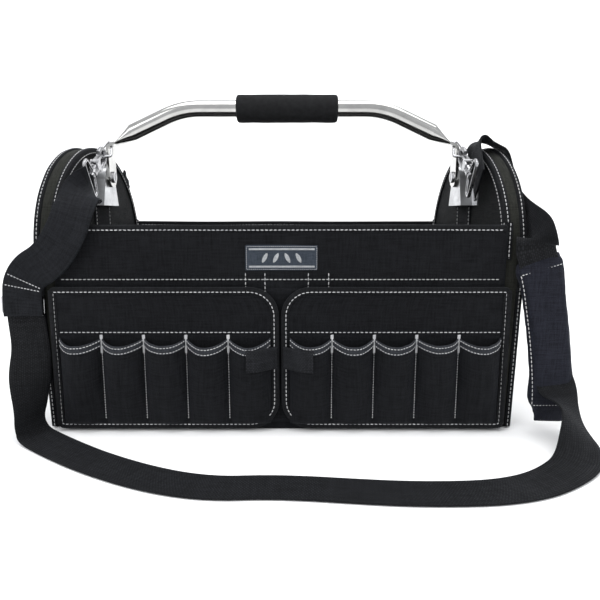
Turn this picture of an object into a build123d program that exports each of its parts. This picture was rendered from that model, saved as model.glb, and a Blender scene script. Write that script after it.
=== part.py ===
from build123d import *
import math
import os

# Open tool bag with a tubular handle, two pocketed front doors and a padded shoulder strap.
# Millimetres, +Z up, origin on the underside of the base at its centre, front face towards -Y.

os.makedirs("parts", exist_ok=True)

# --- driving dimensions -------------------------------------------------------------------
bag_depth = 250            # outside, front wall to back wall
wall_height = 238          # front and back walls
front_half = 255           # half the width across the front wall
rear_half = 231            # half the width across the back wall
fabric = 1.6               # outer fabric, folded and backed
lining = 1.0
board = 2.0                # plastic stiffener inside each wall and door
base_board_thickness = 3.0

ear_half = 121             # half the width of an end panel, along the panel
ear_straight = 200         # height at which the arch of an end panel starts
ear_rise = 133             # rise of the arch
end_thickness_bottom = 18  # padded end, inner face to outer face, at the floor
end_thickness_top = 27
end_binding = 3.0          # how far the bound seams of an end stand proud
end_binding_width = 7.0

rim_tape = 1.2             # binding tape over the top edges
rim_lap = 7.0

door_free = 2.5            # gap line between the doors
door_hinge = 258.5
door_bottom = 5.0
door_top = 169
door_corner = 32
hinge_corner = 5
door_back = 128.5          # distance of the door's inner face in front of the origin
hinge_x = 259
hinge_depth = 127
hinge_strip = 1.2          # the strip the doors are sewn to, past the hinge line
door_lap = 7.0
door_tape = 1.2

pocket_count = 5
pocket_outer_divider = 251
pocket_pitch = 48
pocket_bulge = 17
pocket_skin = 1.4
pocket_bottom = 10
pocket_mouth = 112

grip_length = 131
grip_x = 6                 # the grip sits a little to the right
grip_radius = 17.5
tube_radius = 10.75
tube_wall = 1.5
handle_top = 386
handle_corner = 131        # where the straight run of the tube turns down
handle_slope = 24.5        # degrees
handle_bend = 110
tube_end = 196             # the round tube ends here and is pressed flat
strip_start = 218
strip_thickness = 4.0
strip_half = 13
tang_x = 227
tang_bend = 7.0
tang_bottom = 286
pivot_height = 299

bracket_face = 229.2       # raised face of the bracket, just behind the tang
bracket_sheet = 1.6
bracket_top = 314
bracket_bottom = 262
bracket_top_half = 18
bracket_bottom_half = 28
wing_half = 42
wing_top = 284
wing_rivet = 36
wing_rivet_height = 272

wire_radius = 1.8
hook_x = 228.5
hook_bar = 2.8
eye_half = 23
webbing = 44
webbing_thickness = 2.0


# --- frames -------------------------------------------------------------------------------
end_yaw = math.atan2(front_half - rear_half, bag_depth)
end_x = (front_half + rear_half) / 2
end_tilt = math.atan2(end_thickness_top - end_thickness_bottom, ear_straight + ear_rise)
front_face = bag_depth / 2
inside_face = front_face - fabric - board - lining
sides = (("left", -1), ("right", 1))


def end_plane(side, out=0.0):
    """Inner face of one end of the bag, or a plane that far outside it. Local y is up."""
    normal = Vector(side * math.cos(end_yaw), math.sin(end_yaw), 0)
    along = Vector(-math.sin(end_yaw), side * math.cos(end_yaw), 0)
    return Plane(origin=Vector(side * end_x, 0, 0) + normal * out, x_dir=along, z_dir=normal)


def outer_plane(side, out=0.0):
    """Outer face of one padded end, which leans out towards the top."""
    flat = end_plane(side)
    normal = flat.z_dir * math.cos(end_tilt) - Vector(0, 0, math.sin(end_tilt))
    start = flat.origin + flat.z_dir * end_thickness_bottom
    return Plane(origin=start + normal * out, x_dir=flat.x_dir, z_dir=normal)


def side_plane(side, x):
    """A plane across the bag at that distance from its centre. Local y is up."""
    return Plane(origin=(side * x, 0, 0), x_dir=(0, side, 0), z_dir=(side, 0, 0))


def front_plane(distance):
    """A plane parallel to the front wall, that far in front of the origin. Local y is up."""
    return Plane.XZ.offset(distance)


def arch(grow=0.0, bottom=0.0, mode=Mode.ADD):
    """Outline of an end panel: straight sides under half an ellipse."""
    half = ear_half + grow
    with Locations((0, bottom)):
        Rectangle(2 * half, ear_straight - bottom, align=(Align.CENTER, Align.MIN), mode=mode)
    with Locations((0, ear_straight)):
        Ellipse(half, ear_rise + grow, mode=mode)


def door_outline(side, grow=0.0):
    """Outline of a door with its two free corners rounded."""
    left, right = sorted((side * (door_free - grow), side * (door_hinge + grow)))
    with BuildSketch(mode=Mode.PRIVATE) as outline:
        with Locations(((left + right) / 2, (door_bottom + door_top) / 2)):
            Rectangle(right - left, door_top - door_bottom + 2 * grow)
        columns = outline.vertices().group_by(Axis.X)
        fillet(columns[0 if side > 0 else -1], door_corner + grow)
        fillet(outline.vertices().group_by(Axis.X)[-1 if side > 0 else 0], max(hinge_corner + grow, 1))
    return outline.sketch


def slab(x0, x1, y0, y1, z0, z1):
    """A block between two corners, as a location and a size."""
    centre = ((x0 + x1) / 2, (y0 + y1) / 2, (z0 + z1) / 2)
    with Locations(centre):
        Box(abs(x1 - x0), abs(y1 - y0), abs(z1 - z0))


def save(builder, name):
    builder.part.label = name
    export_step(builder.part, f"parts/{name}.step")


# --- base ---------------------------------------------------------------------------------
def base_outline(depth):
    """The floor of the bag out to the inner faces of the ends."""
    reach = math.tan(end_yaw) * depth
    front, rear = end_x + reach, end_x - reach
    Polygon((-front, -depth), (front, -depth), (rear, depth), (-rear, depth), align=None)


with BuildPart() as base_panel:
    with BuildSketch():
        base_outline(inside_face)
    extrude(amount=fabric)
    slab(-front_half + 1, front_half - 1, -front_face, -inside_face, 0, fabric)
    slab(-rear_half, rear_half, inside_face, front_face, 0, fabric)
base_panel.part.label = "base_panel"
export_step(base_panel.part, "parts/base_panel.step")

with BuildPart() as base_board:
    with BuildSketch(Plane.XY.offset(fabric)):
        base_outline(inside_face)
    extrude(amount=base_board_thickness)
base_board.part.label = "base_board"
export_step(base_board.part, "parts/base_board.step")


# --- front and back walls -----------------------------------------------------------------
front_layers = (
    ("front_panel", front_face - fabric, front_face, front_half),
    ("front_board", front_face - fabric - board, front_face - fabric, front_half - 2),
    ("front_lining", inside_face, inside_face + lining, front_half - 1),
)
for name, inner, outer, half in front_layers:
    with BuildPart() as layer:
        slab(-half, half, -inner, -outer, fabric, wall_height)
        if name == "front_panel":
            for _, side in sides:
                edge = side * (hinge_x + hinge_strip)
                slab(side * (half - 1), edge, -inner, -outer, 10, door_top)
                slab(side * (hinge_x - 0.5), edge, -outer, -hinge_depth + 0.3, 10, door_top)
    save(layer, name)

back_layers = (
    ("back_panel", front_face - fabric, front_face),
    ("back_board", front_face - fabric - board, front_face - fabric),
    ("back_lining", inside_face, inside_face + lining),
)
for name, inner, outer in back_layers:
    with BuildPart() as layer:
        slab(-rear_half, rear_half, inner, outer, fabric, wall_height)
    save(layer, name)


def rim_binding(facing, half):
    """Tape folded over the top edge of a wall: facing is -1 for the front, 1 for the back."""
    near, far = inside_face - rim_tape, front_face + rim_tape
    slab(-half, half, facing * near, facing * far, wall_height - rim_lap, wall_height + rim_tape)
    with Locations((0, facing * (inside_face + front_face) / 2, wall_height - rim_lap / 2)):
        Box(2 * half + 2, front_face - inside_face, rim_lap, mode=Mode.SUBTRACT)


with BuildPart() as front_rim_binding:
    rim_binding(-1, front_half - 1.2)
save(front_rim_binding, "front_rim_binding")

with BuildPart() as back_rim_binding:
    rim_binding(1, rear_half - 1.2)
save(back_rim_binding, "back_rim_binding")


# --- front wall: label, flat inner pockets, loop tape ---------------------------------------
label_centre = (2, 202.5)
with BuildPart() as label_patch:
    with BuildSketch(front_plane(front_face)) as plate:
        with Locations(label_centre):
            Rectangle(82, 29)
        fillet(plate.vertices(), 1)
    extrude(amount=1.0)
save(label_patch, "label_patch")

inner_pocket_skin = 1.2
with BuildPart() as front_pockets:
    slab(-240, 240, -front_face, -front_face - inner_pocket_skin, 9, 168)
save(front_pockets, "front_pockets")

patch_width, patch_height = 30, 22
patch_x, patch_z = 27, 90
with BuildPart() as loop_patches:
    for _, side in sides:
        with Locations((side * patch_x, -front_face - inner_pocket_skin - 0.5, patch_z)):
            Box(patch_width, 1.0, patch_height)
save(loop_patches, "loop_patches")


# --- padded ends --------------------------------------------------------------------------
def end_slab(side, start, stop_inside, grow=0.0, bottom=0.0):
    """An arch-shaped slab from start out to that far inside the outer face."""
    with BuildPart(mode=Mode.PRIVATE) as block:
        with BuildSketch(end_plane(side, start)):
            arch(grow, bottom)
        extrude(amount=end_thickness_top + 20)
        split(bisect_by=outer_plane(side, -stop_inside), keep=Keep.BOTTOM)
    return block.part


def wing_rivet_points(side):
    return [(side * u, wing_rivet_height) for u in (-wing_rivet, wing_rivet)]


for name, side in sides:
    with BuildPart() as inner_panel:
        with BuildSketch(end_plane(side)):
            arch()
            with Locations(*wing_rivet_points(side)):
                Circle(2.5, mode=Mode.SUBTRACT)
        extrude(amount=fabric)
    save(inner_panel, f"{name}_end_inner_panel")

    stuffing = end_slab(side, fabric, fabric, -fabric, fabric)
    with BuildPart() as core:
        add(stuffing)
        with BuildSketch(end_plane(side, fabric)):
            with Locations(*wing_rivet_points(side)):
                Circle(5.5)
        extrude(amount=5, mode=Mode.SUBTRACT)
    save(core, f"{name}_end_core")

    whole_band = end_slab(side, fabric, fabric)
    with BuildPart() as gusset:
        add(whole_band)
        add(stuffing, mode=Mode.SUBTRACT)
    save(gusset, f"{name}_end_gusset")

    whole_end = end_slab(side, end_thickness_bottom / 2, 0)
    with BuildPart() as outer_panel:
        add(whole_end)
        split(bisect_by=outer_plane(side, -fabric), keep=Keep.TOP)
    save(outer_panel, f"{name}_end_outer_panel")

    with BuildPart() as inner_binding:
        with BuildSketch(end_plane(side, -1.2)):
            arch(end_binding)
            arch(0, -1, mode=Mode.SUBTRACT)
            with Locations((0, wall_height + 3)):
                Rectangle(400, 600, align=(Align.CENTER, Align.MAX), mode=Mode.SUBTRACT)
        extrude(amount=end_binding_width)
    save(inner_binding, f"{name}_end_inner_binding")

    inside_arch = end_slab(side, end_thickness_bottom / 4, -end_thickness_bottom)
    with BuildPart() as outer_binding:
        with BuildSketch(outer_plane(side, -end_binding_width + 1.2)):
            arch(end_binding)
            arch(0, -1, mode=Mode.SUBTRACT)
            Rectangle(400, 100, align=(Align.CENTER, Align.MAX), mode=Mode.SUBTRACT)
        extrude(amount=end_binding_width)
        add(inside_arch, mode=Mode.SUBTRACT)
    save(outer_binding, f"{name}_end_outer_binding")

anchor_half = 22
anchor_thickness = 1.5
for name, side in sides:
    with BuildPart() as anchor_webbing:
        with BuildSketch(end_plane(side, -anchor_thickness)):
            with Locations((0, base_board_thickness + fabric + 1)):
                Rectangle(2 * anchor_half, bracket_bottom - 7, align=(Align.CENTER, Align.MIN))
        extrude(amount=anchor_thickness)
    save(anchor_webbing, f"{name}_anchor_webbing")

tab_angle = math.radians(46)
tab_foot = (ear_half * math.cos(tab_angle), ear_straight + ear_rise * math.sin(tab_angle))
tab_normal = Vector(ear_rise * math.cos(tab_angle), ear_half * math.sin(tab_angle), 0).normalized()
tab_out = end_binding + 4.3
with BuildPart() as rear_tab:
    with BuildSketch(end_plane(-1, 0.4)):
        with Locations((-tab_foot[0] - tab_out * tab_normal.X, tab_foot[1] + tab_out * tab_normal.Y)):
            Rectangle(8, 32, rotation=180 - math.degrees(math.atan2(tab_normal.Y, tab_normal.X)))
    extrude(amount=2.4)
save(rear_tab, "rear_tab")


# --- handle -------------------------------------------------------------------------------
slope = math.radians(handle_slope)
tube_end_z = handle_top - (tube_end - handle_corner) * math.tan(slope)
strip_start_z = 341.5
corner_z = strip_start_z - (tang_x - strip_start) * math.tan(slope)
link_corners = (Vector(226, 4, 351), Vector(237, -28, 322), Vector(219, -22, 324))


def on_side(point, side):
    """The same point on the left (-1) or right (1) half of the bag."""
    return Vector(side * point.X, point.Y, point.Z)


tube_line = FilletPolyline(
    (-tube_end, 0, tube_end_z),
    (-handle_corner, 0, handle_top),
    (handle_corner, 0, handle_top),
    (tube_end, 0, tube_end_z),
    radius=handle_bend,
)

with BuildPart() as tube_bore:
    with BuildSketch(Plane(origin=tube_line @ 0, z_dir=tube_line % 0)):
        Circle(tube_radius - tube_wall)
    sweep(path=tube_line)

strip_lines = {
    side: FilletPolyline(
        (side * (strip_start - 1), 0, strip_start_z + math.tan(slope)),
        (side * tang_x, 0, corner_z),
        (side * tang_x, 0, tang_bottom + strip_half),
        radius=tang_bend,
    )
    for _, side in sides
}

with BuildPart() as handle_tube:
    with BuildSketch(Plane(origin=tube_line @ 0, z_dir=tube_line % 0)):
        Circle(tube_radius)
    sweep(path=tube_line)
    for _, side in sides:
        down = Vector(side * math.cos(slope), 0, -math.sin(slope))
        with BuildSketch(Plane(origin=(side * tube_end, 0, tube_end_z), x_dir=(0, 1, 0), z_dir=down)):
            Circle(tube_radius)
        with BuildSketch(Plane(origin=(side * strip_start, 0, strip_start_z), x_dir=(0, 1, 0), z_dir=down)):
            Ellipse(strip_half, strip_thickness / 2)
        loft()
        strip_line = strip_lines[side]
        with BuildSketch(Plane(origin=strip_line @ 0, x_dir=(0, 1, 0), z_dir=strip_line % 0)):
            Rectangle(2 * strip_half, strip_thickness)
        sweep(path=strip_line)
        with BuildSketch(side_plane(side, tang_x - strip_thickness / 2)):
            with Locations((0, tang_bottom + strip_half)):
                Circle(strip_half)
        extrude(amount=strip_thickness)
        with BuildSketch(side_plane(side, tang_x - 5)):
            with Locations((0, pivot_height)):
                Circle(3.1)
        extrude(amount=10, mode=Mode.SUBTRACT)
        lower, upper = on_side(link_corners[2], side), on_side(link_corners[0], side)
        with BuildSketch(Plane(origin=lower, z_dir=upper - lower)):
            Circle(2.9)
        extrude(amount=(upper - lower).length * 0.8, mode=Mode.SUBTRACT)
    add(tube_bore.part, mode=Mode.SUBTRACT)
save(handle_tube, "handle_tube")

with BuildPart() as grip:
    with BuildSketch(Plane.YZ.offset(grip_x - grip_length / 2)):
        with Locations((0, handle_top)):
            Circle(grip_radius)
            Circle(tube_radius + 0.05, mode=Mode.SUBTRACT)
    extrude(amount=grip_length)
    fillet(grip.edges().filter_by(GeomType.CIRCLE).group_by(SortBy.RADIUS)[-1], 1.5)
save(grip, "foam_grip")

rivet_head_height = 2.6
with BuildPart() as tang_rivets:
    for _, side in sides:
        head_foot = tang_x - strip_thickness / 2
        with BuildSketch(side_plane(side, head_foot - rivet_head_height)):
            with Locations((0, pivot_height)):
                Circle(7)
        extrude(amount=rivet_head_height, taper=-12)
        with BuildSketch(side_plane(side, head_foot - rivet_head_height)):
            with Locations((0, pivot_height)):
                Rectangle(1.6, 10, rotation=10)
        extrude(amount=1.2, mode=Mode.SUBTRACT)
        with BuildSketch(side_plane(side, head_foot)):
            with Locations((0, pivot_height)):
                Circle(3)
        extrude(amount=strip_thickness + bracket_sheet + 2)
        with BuildSketch(side_plane(side, bracket_face + bracket_sheet)):
            with Locations((0, pivot_height)):
                Circle(5.5)
        extrude(amount=2)
save(tang_rivets, "tang_rivets")


# --- brackets, their rivets and the wire links --------------------------------------------
def channel_outline(inset=0.0, extra_bottom=0.0):
    """The raised part of a bracket, round at the top and wider at the bottom."""
    top, bottom = bracket_top_half - inset, bracket_bottom_half - inset
    shoulder = bracket_top - bracket_top_half
    with BuildSketch(mode=Mode.PRIVATE) as outline:
        Polygon(
            (-bottom, bracket_bottom - extra_bottom),
            (bottom, bracket_bottom - extra_bottom),
            (top, shoulder),
            (-top, shoulder),
            align=None,
        )
        with Locations((0, shoulder)):
            Circle(top)
    return outline.sketch


gap = 2 * bracket_bottom_half - 9      # between the wings, which run in under the channel
for name, side in sides:
    with BuildPart() as bracket:
        with BuildSketch(side_plane(side, bracket_face)):
            add(channel_outline())
        extrude(amount=25)
        with BuildSketch(side_plane(side, bracket_face + bracket_sheet)):
            add(channel_outline(bracket_sheet, 5))
        extrude(amount=30, mode=Mode.SUBTRACT)
        with BuildSketch(side_plane(side, bracket_face - 5)):
            with Locations((0, pivot_height)):
                Circle(3.1)
        extrude(amount=20, mode=Mode.SUBTRACT)
        split(bisect_by=end_plane(side), keep=Keep.BOTTOM)
        with BuildSketch(end_plane(side, -bracket_sheet)) as wings:
            with Locations((0, bracket_bottom)):
                Rectangle(2 * wing_half, wing_top - bracket_bottom, align=(Align.CENTER, Align.MIN))
            fillet(wings.vertices().group_by(Axis.Y)[-1], 8)
            with Locations((0, bracket_bottom)):
                Rectangle(gap, 100, align=(Align.CENTER, Align.MIN), mode=Mode.SUBTRACT)
            with Locations(*wing_rivet_points(side)):
                Circle(2.5, mode=Mode.SUBTRACT)
        extrude(amount=bracket_sheet)
    save(bracket, f"{name}_bracket")

with BuildPart() as wing_rivets:
    for _, side in sides:
        with BuildSketch(end_plane(side, -bracket_sheet)):
            with Locations(*wing_rivet_points(side)):
                Circle(5)
        extrude(amount=-2, taper=18)
        with BuildSketch(end_plane(side, -bracket_sheet)):
            with Locations(*wing_rivet_points(side)):
                Circle(2.5)
        extrude(amount=bracket_sheet + fabric + 3)
        with BuildSketch(end_plane(side, fabric)):
            with Locations(*wing_rivet_points(side)):
                Circle(4.5)
        extrude(amount=1.2)
save(wing_rivets, "wing_rivets")

for name, side in sides:
    corners = [on_side(point, side) for point in link_corners]
    wire_line = FilletPolyline(*corners, radius=3, close=True)
    with BuildPart() as link:
        with BuildSketch(Plane(origin=wire_line @ 0, z_dir=wire_line % 0)):
            Circle(wire_radius)
        sweep(path=wire_line)
    save(link, f"{name}_wire_link")


# --- snap hooks ---------------------------------------------------------------------------
# Each hook lies in a plane across the bag. along runs from the middle of the strap's bar
# to the wire link, and across is square to it, up and forward.
bar_y, bar_z = -75, 290
link_y, link_z = -25, 326
hook_angle = math.atan2(link_z - bar_z, link_y - bar_y)
gate_pivot = (33.5, 6.2)
hook_centre_radius = 9.1
hook_reach = 66.2           # to the far end of the hook's middle line
swivel_radius = 2.5


def hook_point(side, along, across, out=0.0):
    c, s = math.cos(hook_angle), math.sin(hook_angle)
    return Vector(side * (hook_x + out), bar_y + along * c - across * s, bar_z + along * s + across * c)


def hook_plane(side, out=0.0):
    """Plane of a hook: local x along the hook, local y across it."""
    along = hook_point(side, 1, 0) - hook_point(side, 0, 0)
    across = hook_point(side, 0, 1) - hook_point(side, 0, 0)
    return Plane(origin=hook_point(side, 0, 0, out), x_dir=along, z_dir=along.cross(across))


def hook_axis_plane(side, along):
    """Plane square to a hook's length."""
    return Plane(origin=hook_point(side, along, 0), z_dir=hook_plane(side).x_dir)


for name, side in sides:
    eye_corners = [(0, -eye_half), (0, eye_half), (9, eye_half), (16, 6), (16, -6), (9, -eye_half)]
    eye_line = FilletPolyline(*[hook_point(side, *corner) for corner in eye_corners], radius=3, close=True)
    with BuildPart() as hook_eye:
        with BuildSketch(Plane(origin=eye_line @ 0, z_dir=eye_line % 0)):
            Circle(2.1)
        sweep(path=eye_line)
        with BuildSketch(hook_axis_plane(side, 13.4)):
            Circle(5)
        extrude(amount=6.4)
        with BuildSketch(hook_axis_plane(side, 5)):
            Circle(swivel_radius + 0.1)
        extrude(amount=20, mode=Mode.SUBTRACT)
    save(hook_eye, f"{name}_hook_eye")

    wide = hook_centre_radius
    turn = hook_reach - wide
    with BuildLine(hook_plane(side)) as hook_line:
        Line((24, 0), (27, 0))
        Bezier((27, 0), (35, 0), (35, -wide), (43, -wide))
        Line((43, -wide), (turn, -wide))
        ThreePointArc((turn, -wide), (hook_reach, 0), (turn, wide))
        Line((turn, wide), (49, wide))
    hook_wire = hook_line.wire()
    with BuildPart() as hook_body:
        with BuildSketch(Plane(origin=hook_wire @ 0, z_dir=hook_wire % 0)):
            Circle(hook_bar)
        sweep(path=hook_wire)
        for start, length, radius in ((12.8, 13, swivel_radius), (8.2, 4.9, 4.2), (20.1, 8, 5.2)):
            with BuildSketch(hook_axis_plane(side, start)):
                Circle(radius)
            extrude(amount=length)
        for out in (-5.4, 3.4):
            with BuildSketch(hook_plane(side, out)) as lug:
                with Locations((29, 3)):
                    Rectangle(10, 10)
                with Locations(gate_pivot):
                    Circle(3)
            extrude(amount=2 if hook_plane(side).z_dir.X * side > 0 else -2)
        with BuildSketch(hook_plane(side, -5.4)):
            with Locations(gate_pivot):
                Circle(1.5)
        extrude(amount=10.8 if hook_plane(side).z_dir.X * side > 0 else -10.8)
    save(hook_body, f"{name}_hook_body")

    with BuildPart() as hook_gate:
        with BuildSketch(hook_plane(side)) as gate_side:
            with Locations(gate_pivot):
                Circle(2.9)
            Polygon((33, 3.4), (52, 2.6), (53.5, 4.8), (36, 8.4), align=None)
            with Locations(gate_pivot):
                Circle(1.6, mode=Mode.SUBTRACT)
        extrude(amount=2.9, both=True)
    save(hook_gate, f"{name}_hook_gate")


# --- doors --------------------------------------------------------------------------------
door_layers = (("lining", lining), ("board", board), ("panel", fabric))
door_front = door_back + lining + board + fabric
pocket_depth_z = pocket_mouth - pocket_bottom
dividers = [pocket_outer_divider - pocket_pitch * k for k in range(pocket_count + 1)]


def pocket_bulges(side, shrink=0.0):
    """Plan of the bulging pockets, or of their hollows when shrunk by the skin."""
    with BuildSketch(mode=Mode.PRIVATE) as plan:
        for outer, inner in zip(dividers, dividers[1:]):
            start, end = side * (outer - shrink), side * (inner + shrink)
            with BuildLine():
                ThreePointArc(
                    (start, -door_front),
                    ((start + end) / 2, -door_front - pocket_bulge + shrink),
                    (end, -door_front),
                )
                Line((end, -door_front), (start, -door_front))
            make_face()
    return plan.sketch


for name, side in sides:
    distance = door_back
    for layer_name, thickness in door_layers:
        with BuildPart() as layer:
            with BuildSketch(front_plane(distance)):
                add(door_outline(side))
            extrude(amount=thickness)
        save(layer, f"{name}_door_{layer_name}")
        distance += thickness

    with BuildPart() as door_binding:
        with BuildSketch(front_plane(door_back)):
            add(door_outline(side, door_tape))
            add(door_outline(side), mode=Mode.SUBTRACT)
        extrude(amount=door_front - door_back)
        with BuildSketch(front_plane(door_front)):
            add(door_outline(side, door_tape))
            add(door_outline(side, -door_lap), mode=Mode.SUBTRACT)
        extrude(amount=door_tape)
    save(door_binding, f"{name}_door_binding")

    bulges, hollows = pocket_bulges(side), pocket_bulges(side, pocket_skin)
    with BuildPart() as door_pockets:
        with BuildSketch(Plane.XY.offset(pocket_bottom)):
            add(bulges)
        extrude(amount=pocket_depth_z)
        with BuildSketch(Plane.XY.offset(pocket_bottom + pocket_skin)):
            add(hollows)
        extrude(amount=pocket_depth_z, mode=Mode.SUBTRACT)
        # the pockets meet the door inside its bound edge
        with BuildSketch(front_plane(door_front - 1)):
            Rectangle(800, 800)
            add(door_outline(side, -door_lap - 0.2), mode=Mode.SUBTRACT)
        extrude(amount=1.2 + door_tape, mode=Mode.SUBTRACT)
    save(door_pockets, f"{name}_door_pockets")

    tab_line = [(3, 134.4), (9, 141), (21, 149.6), (38, 152.4)]
    outline = [(side * x, -y) for x, y in tab_line] + [(side * x, -y - 1.5) for x, y in reversed(tab_line)]
    with BuildPart() as pull_tab:
        with BuildSketch(Plane.XY.offset(76)):
            Polygon(*outline, align=None)
        extrude(amount=27)
    save(pull_tab, f"{name}_pull_tab")

    with BuildPart() as hook_patch:
        with Locations((side * patch_x, -door_back + 0.5, patch_z)):
            Box(patch_width, 1.0, patch_height)
    save(hook_patch, f"{name}_hook_patch")


# --- shoulder strap -----------------------------------------------------------------------
# Each station is a point on the strap's middle line and the direction of its width there,
# from the left hook to the right one.
left_upper = (
    ((-228.5, -79.2, 287), (0.00, -0.59, 0.81)),
    ((-228.5, -92, 278), (-0.55, -0.42, 0.65)),
    ((-226.5, -112, 269), (-0.98, -0.03, 0.12)),
    ((-228, -127, 255), (-0.98, 0.0, 0.18)),
    ((-234, -132.5, 233), (-0.95, 0.0, 0.30)),
    ((-255, -131.5, 201), (-0.89, 0.0, 0.45)),
    ((-287.5, -127.0, 184), (-0.93, 0.0, 0.36)),
)
left_hanging = (
    ((-291.5, -125.4, 149), (-0.98, 0.0, 0.20)),
    ((-291, -124, 126), (-0.995, 0.0, 0.08)),
    ((-289, -124, 98), (-1.0, -0.02, 0.0)),
    ((-287, -132, 78), (-0.93, -0.36, 0.0)),
    ((-284, -143, 58), (-0.64, -0.77, 0.0)),
    ((-283, -146, 36), (-0.42, -0.91, 0.0)),
    ((-286, -147, 16), (-0.28, -0.96, -0.02)),
    ((-280, -150, 4.5), (-0.30, -0.95, 0.0)),
)
on_floor = (
    ((-266, -160, 1.5), (-0.42, -0.90, 0.0)),
    ((-246, -175, 1.3), (-0.55, -0.84, 0.0)),
    ((-222, -192, 1.3), (-0.58, -0.81, 0.0)),
    ((-195, -210, 1.3), (-0.54, -0.84, 0.0)),
    ((-164, -228, 1.3), (-0.45, -0.89, 0.0)),
    ((-128, -246, 1.3), (-0.38, -0.92, 0.0)),
    ((-90, -260, 1.3), (-0.24, -0.97, 0.0)),
    ((-52, -266.5, 1.3), (-0.04, -1.0, 0.0)),
    ((-12, -264, 1.3), (0.02, -1.0, 0.0)),
    ((28, -266, 1.3), (-0.08, -0.99, 0.0)),
    ((70, -271, 1.3), (-0.10, -0.99, 0.0)),
    ((114, -275.5, 1.3), (-0.05, -1.0, 0.0)),
    ((158, -276.5, 1.3), (0.0, -1.0, 0.0)),
    ((202, -274, 1.3), (0.14, -0.99, 0.0)),
    ((240, -264, 1.3), (0.38, -0.92, 0.0)),
    ((272, -246, 1.5), (0.58, -0.81, 0.0)),
    ((300, -225, 4), (0.72, -0.69, -0.06)),
)
right_rising = (
    ((315, -203, 13), (0.76, -0.53, -0.38)),
    ((321, -180, 25), (0.47, -0.45, -0.76)),
    ((321.5, -160, 37), (0.47, -0.48, -0.74)),
    ((318, -143, 50), (0.80, -0.35, -0.46)),
    ((313.6, -134.8, 65), (0.995, -0.03, 0.0)),
    ((312.3, -133.4, 76), (0.99, -0.04, 0.06)),
)
under_pad = (
    ((310, -133, 90), (0.99, -0.01, 0.13)),
    ((306, -133, 118), (0.985, 0.0, 0.17)),
    ((300, -133, 150), (0.975, 0.0, 0.22)),
    ((294, -133, 182), (0.965, 0.0, 0.26)),
    ((286, -133, 205), (0.96, 0.0, 0.29)),
)
right_upper = (
    ((283.3, -133.2, 215), (0.95, -0.05, 0.30)),
    ((283.5, -138.5, 224), (0.70, -0.55, 0.42)),
    ((287, -131, 233), (0.20, -0.62, 0.75)),
    ((287, -110, 241), (0.03, -0.45, 0.88)),
    ((286.5, -85, 250), (0.0, -0.52, 0.85)),
    ((286, -60, 263), (0.0, -0.68, 0.73)),
    ((285.5, -42, 281), (0.0, -0.86, 0.51)),
    ((284, -32, 305), (0.0, -0.99, 0.12)),
    ((278, -31, 331), (0.0, -0.985, -0.15)),
    ((264, -31, 338.6), (0.0, -0.985, -0.14)),
)
right_inner = (
    ((250, -34, 340.4), (0.0, -0.985, -0.08)),
    ((240.5, -38, 336.5), (0.0, -0.97, 0.20)),
    ((239.5, -45, 322), (0.0, -0.75, 0.66)),
    ((238, -60, 304), (0.0, -0.62, 0.78)),
    ((235, -80, 286), (0.0, -0.60, 0.80)),
)
route = left_upper + left_hanging + on_floor + right_rising + under_pad + right_upper + right_inner
ply_gap = 2.6
slider_gap = 0.9


def ribbon_planes(stations):
    """A plane square to the strap at each station: local x is its width, local y its face."""
    points = [Vector(*point) for point, _ in stations]
    after, before = points[1:] + points[-1:], points[:1] + points[:-1]
    planes = []
    for point, start, end, (_, width) in zip(points, before, after, stations):
        direction = (end - start).normalized()
        width = Vector(*width)
        width = (width - direction * width.dot(direction)).normalized()
        planes.append(Plane(origin=point, x_dir=width, z_dir=direction))
    return planes


def ribbon(planes, width, low, high):
    """A band through the planes, between two distances from its middle surface."""
    with BuildPart(mode=Mode.PRIVATE) as band:
        for plane in planes:
            with BuildSketch(plane):
                with Locations((0, (low + high) / 2)):
                    Rectangle(width, high - low)
        loft(ruled=True)
    return band.part


half_ply = webbing_thickness / 2
strap_planes = ribbon_planes(route)
# the strap doubles back over the top of the right end, so it is joined from short lengths
lengths = [ribbon(pair, webbing, -half_ply, half_ply) for pair in zip(strap_planes, strap_planes[1:])]
with BuildPart() as strap_webbing:
    add(lengths)
save(strap_webbing, "strap_webbing")

return_planes = strap_planes[:len(left_upper)]
return_band = ribbon(return_planes, webbing, -half_ply - ply_gap, half_ply - ply_gap)
with BuildPart() as strap_return:
    add(return_band)
save(strap_return, "strap_return")

slider_length, slider_height, slider_thickness, slider_bar = 48.8, 22, 2.2, 2.2
slider_station = strap_planes[len(left_upper)]
slider_origin = slider_station.origin - slider_station.y_dir * (half_ply + slider_gap)
slider_plane = Plane(slider_origin, x_dir=slider_station.x_dir, z_dir=-slider_station.y_dir)
with BuildPart() as strap_slider:
    with BuildSketch(slider_plane) as frame:
        Rectangle(slider_length, slider_height)
        fillet(frame.vertices(), 4)
        window = (slider_height - 3 * slider_bar) / 2
        with Locations((0, (window + slider_bar) / 2), (0, -(window + slider_bar) / 2)):
            Rectangle(slider_length - 2 * slider_bar, window, mode=Mode.SUBTRACT)
    extrude(amount=slider_thickness)
save(strap_slider, "strap_slider")

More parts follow.
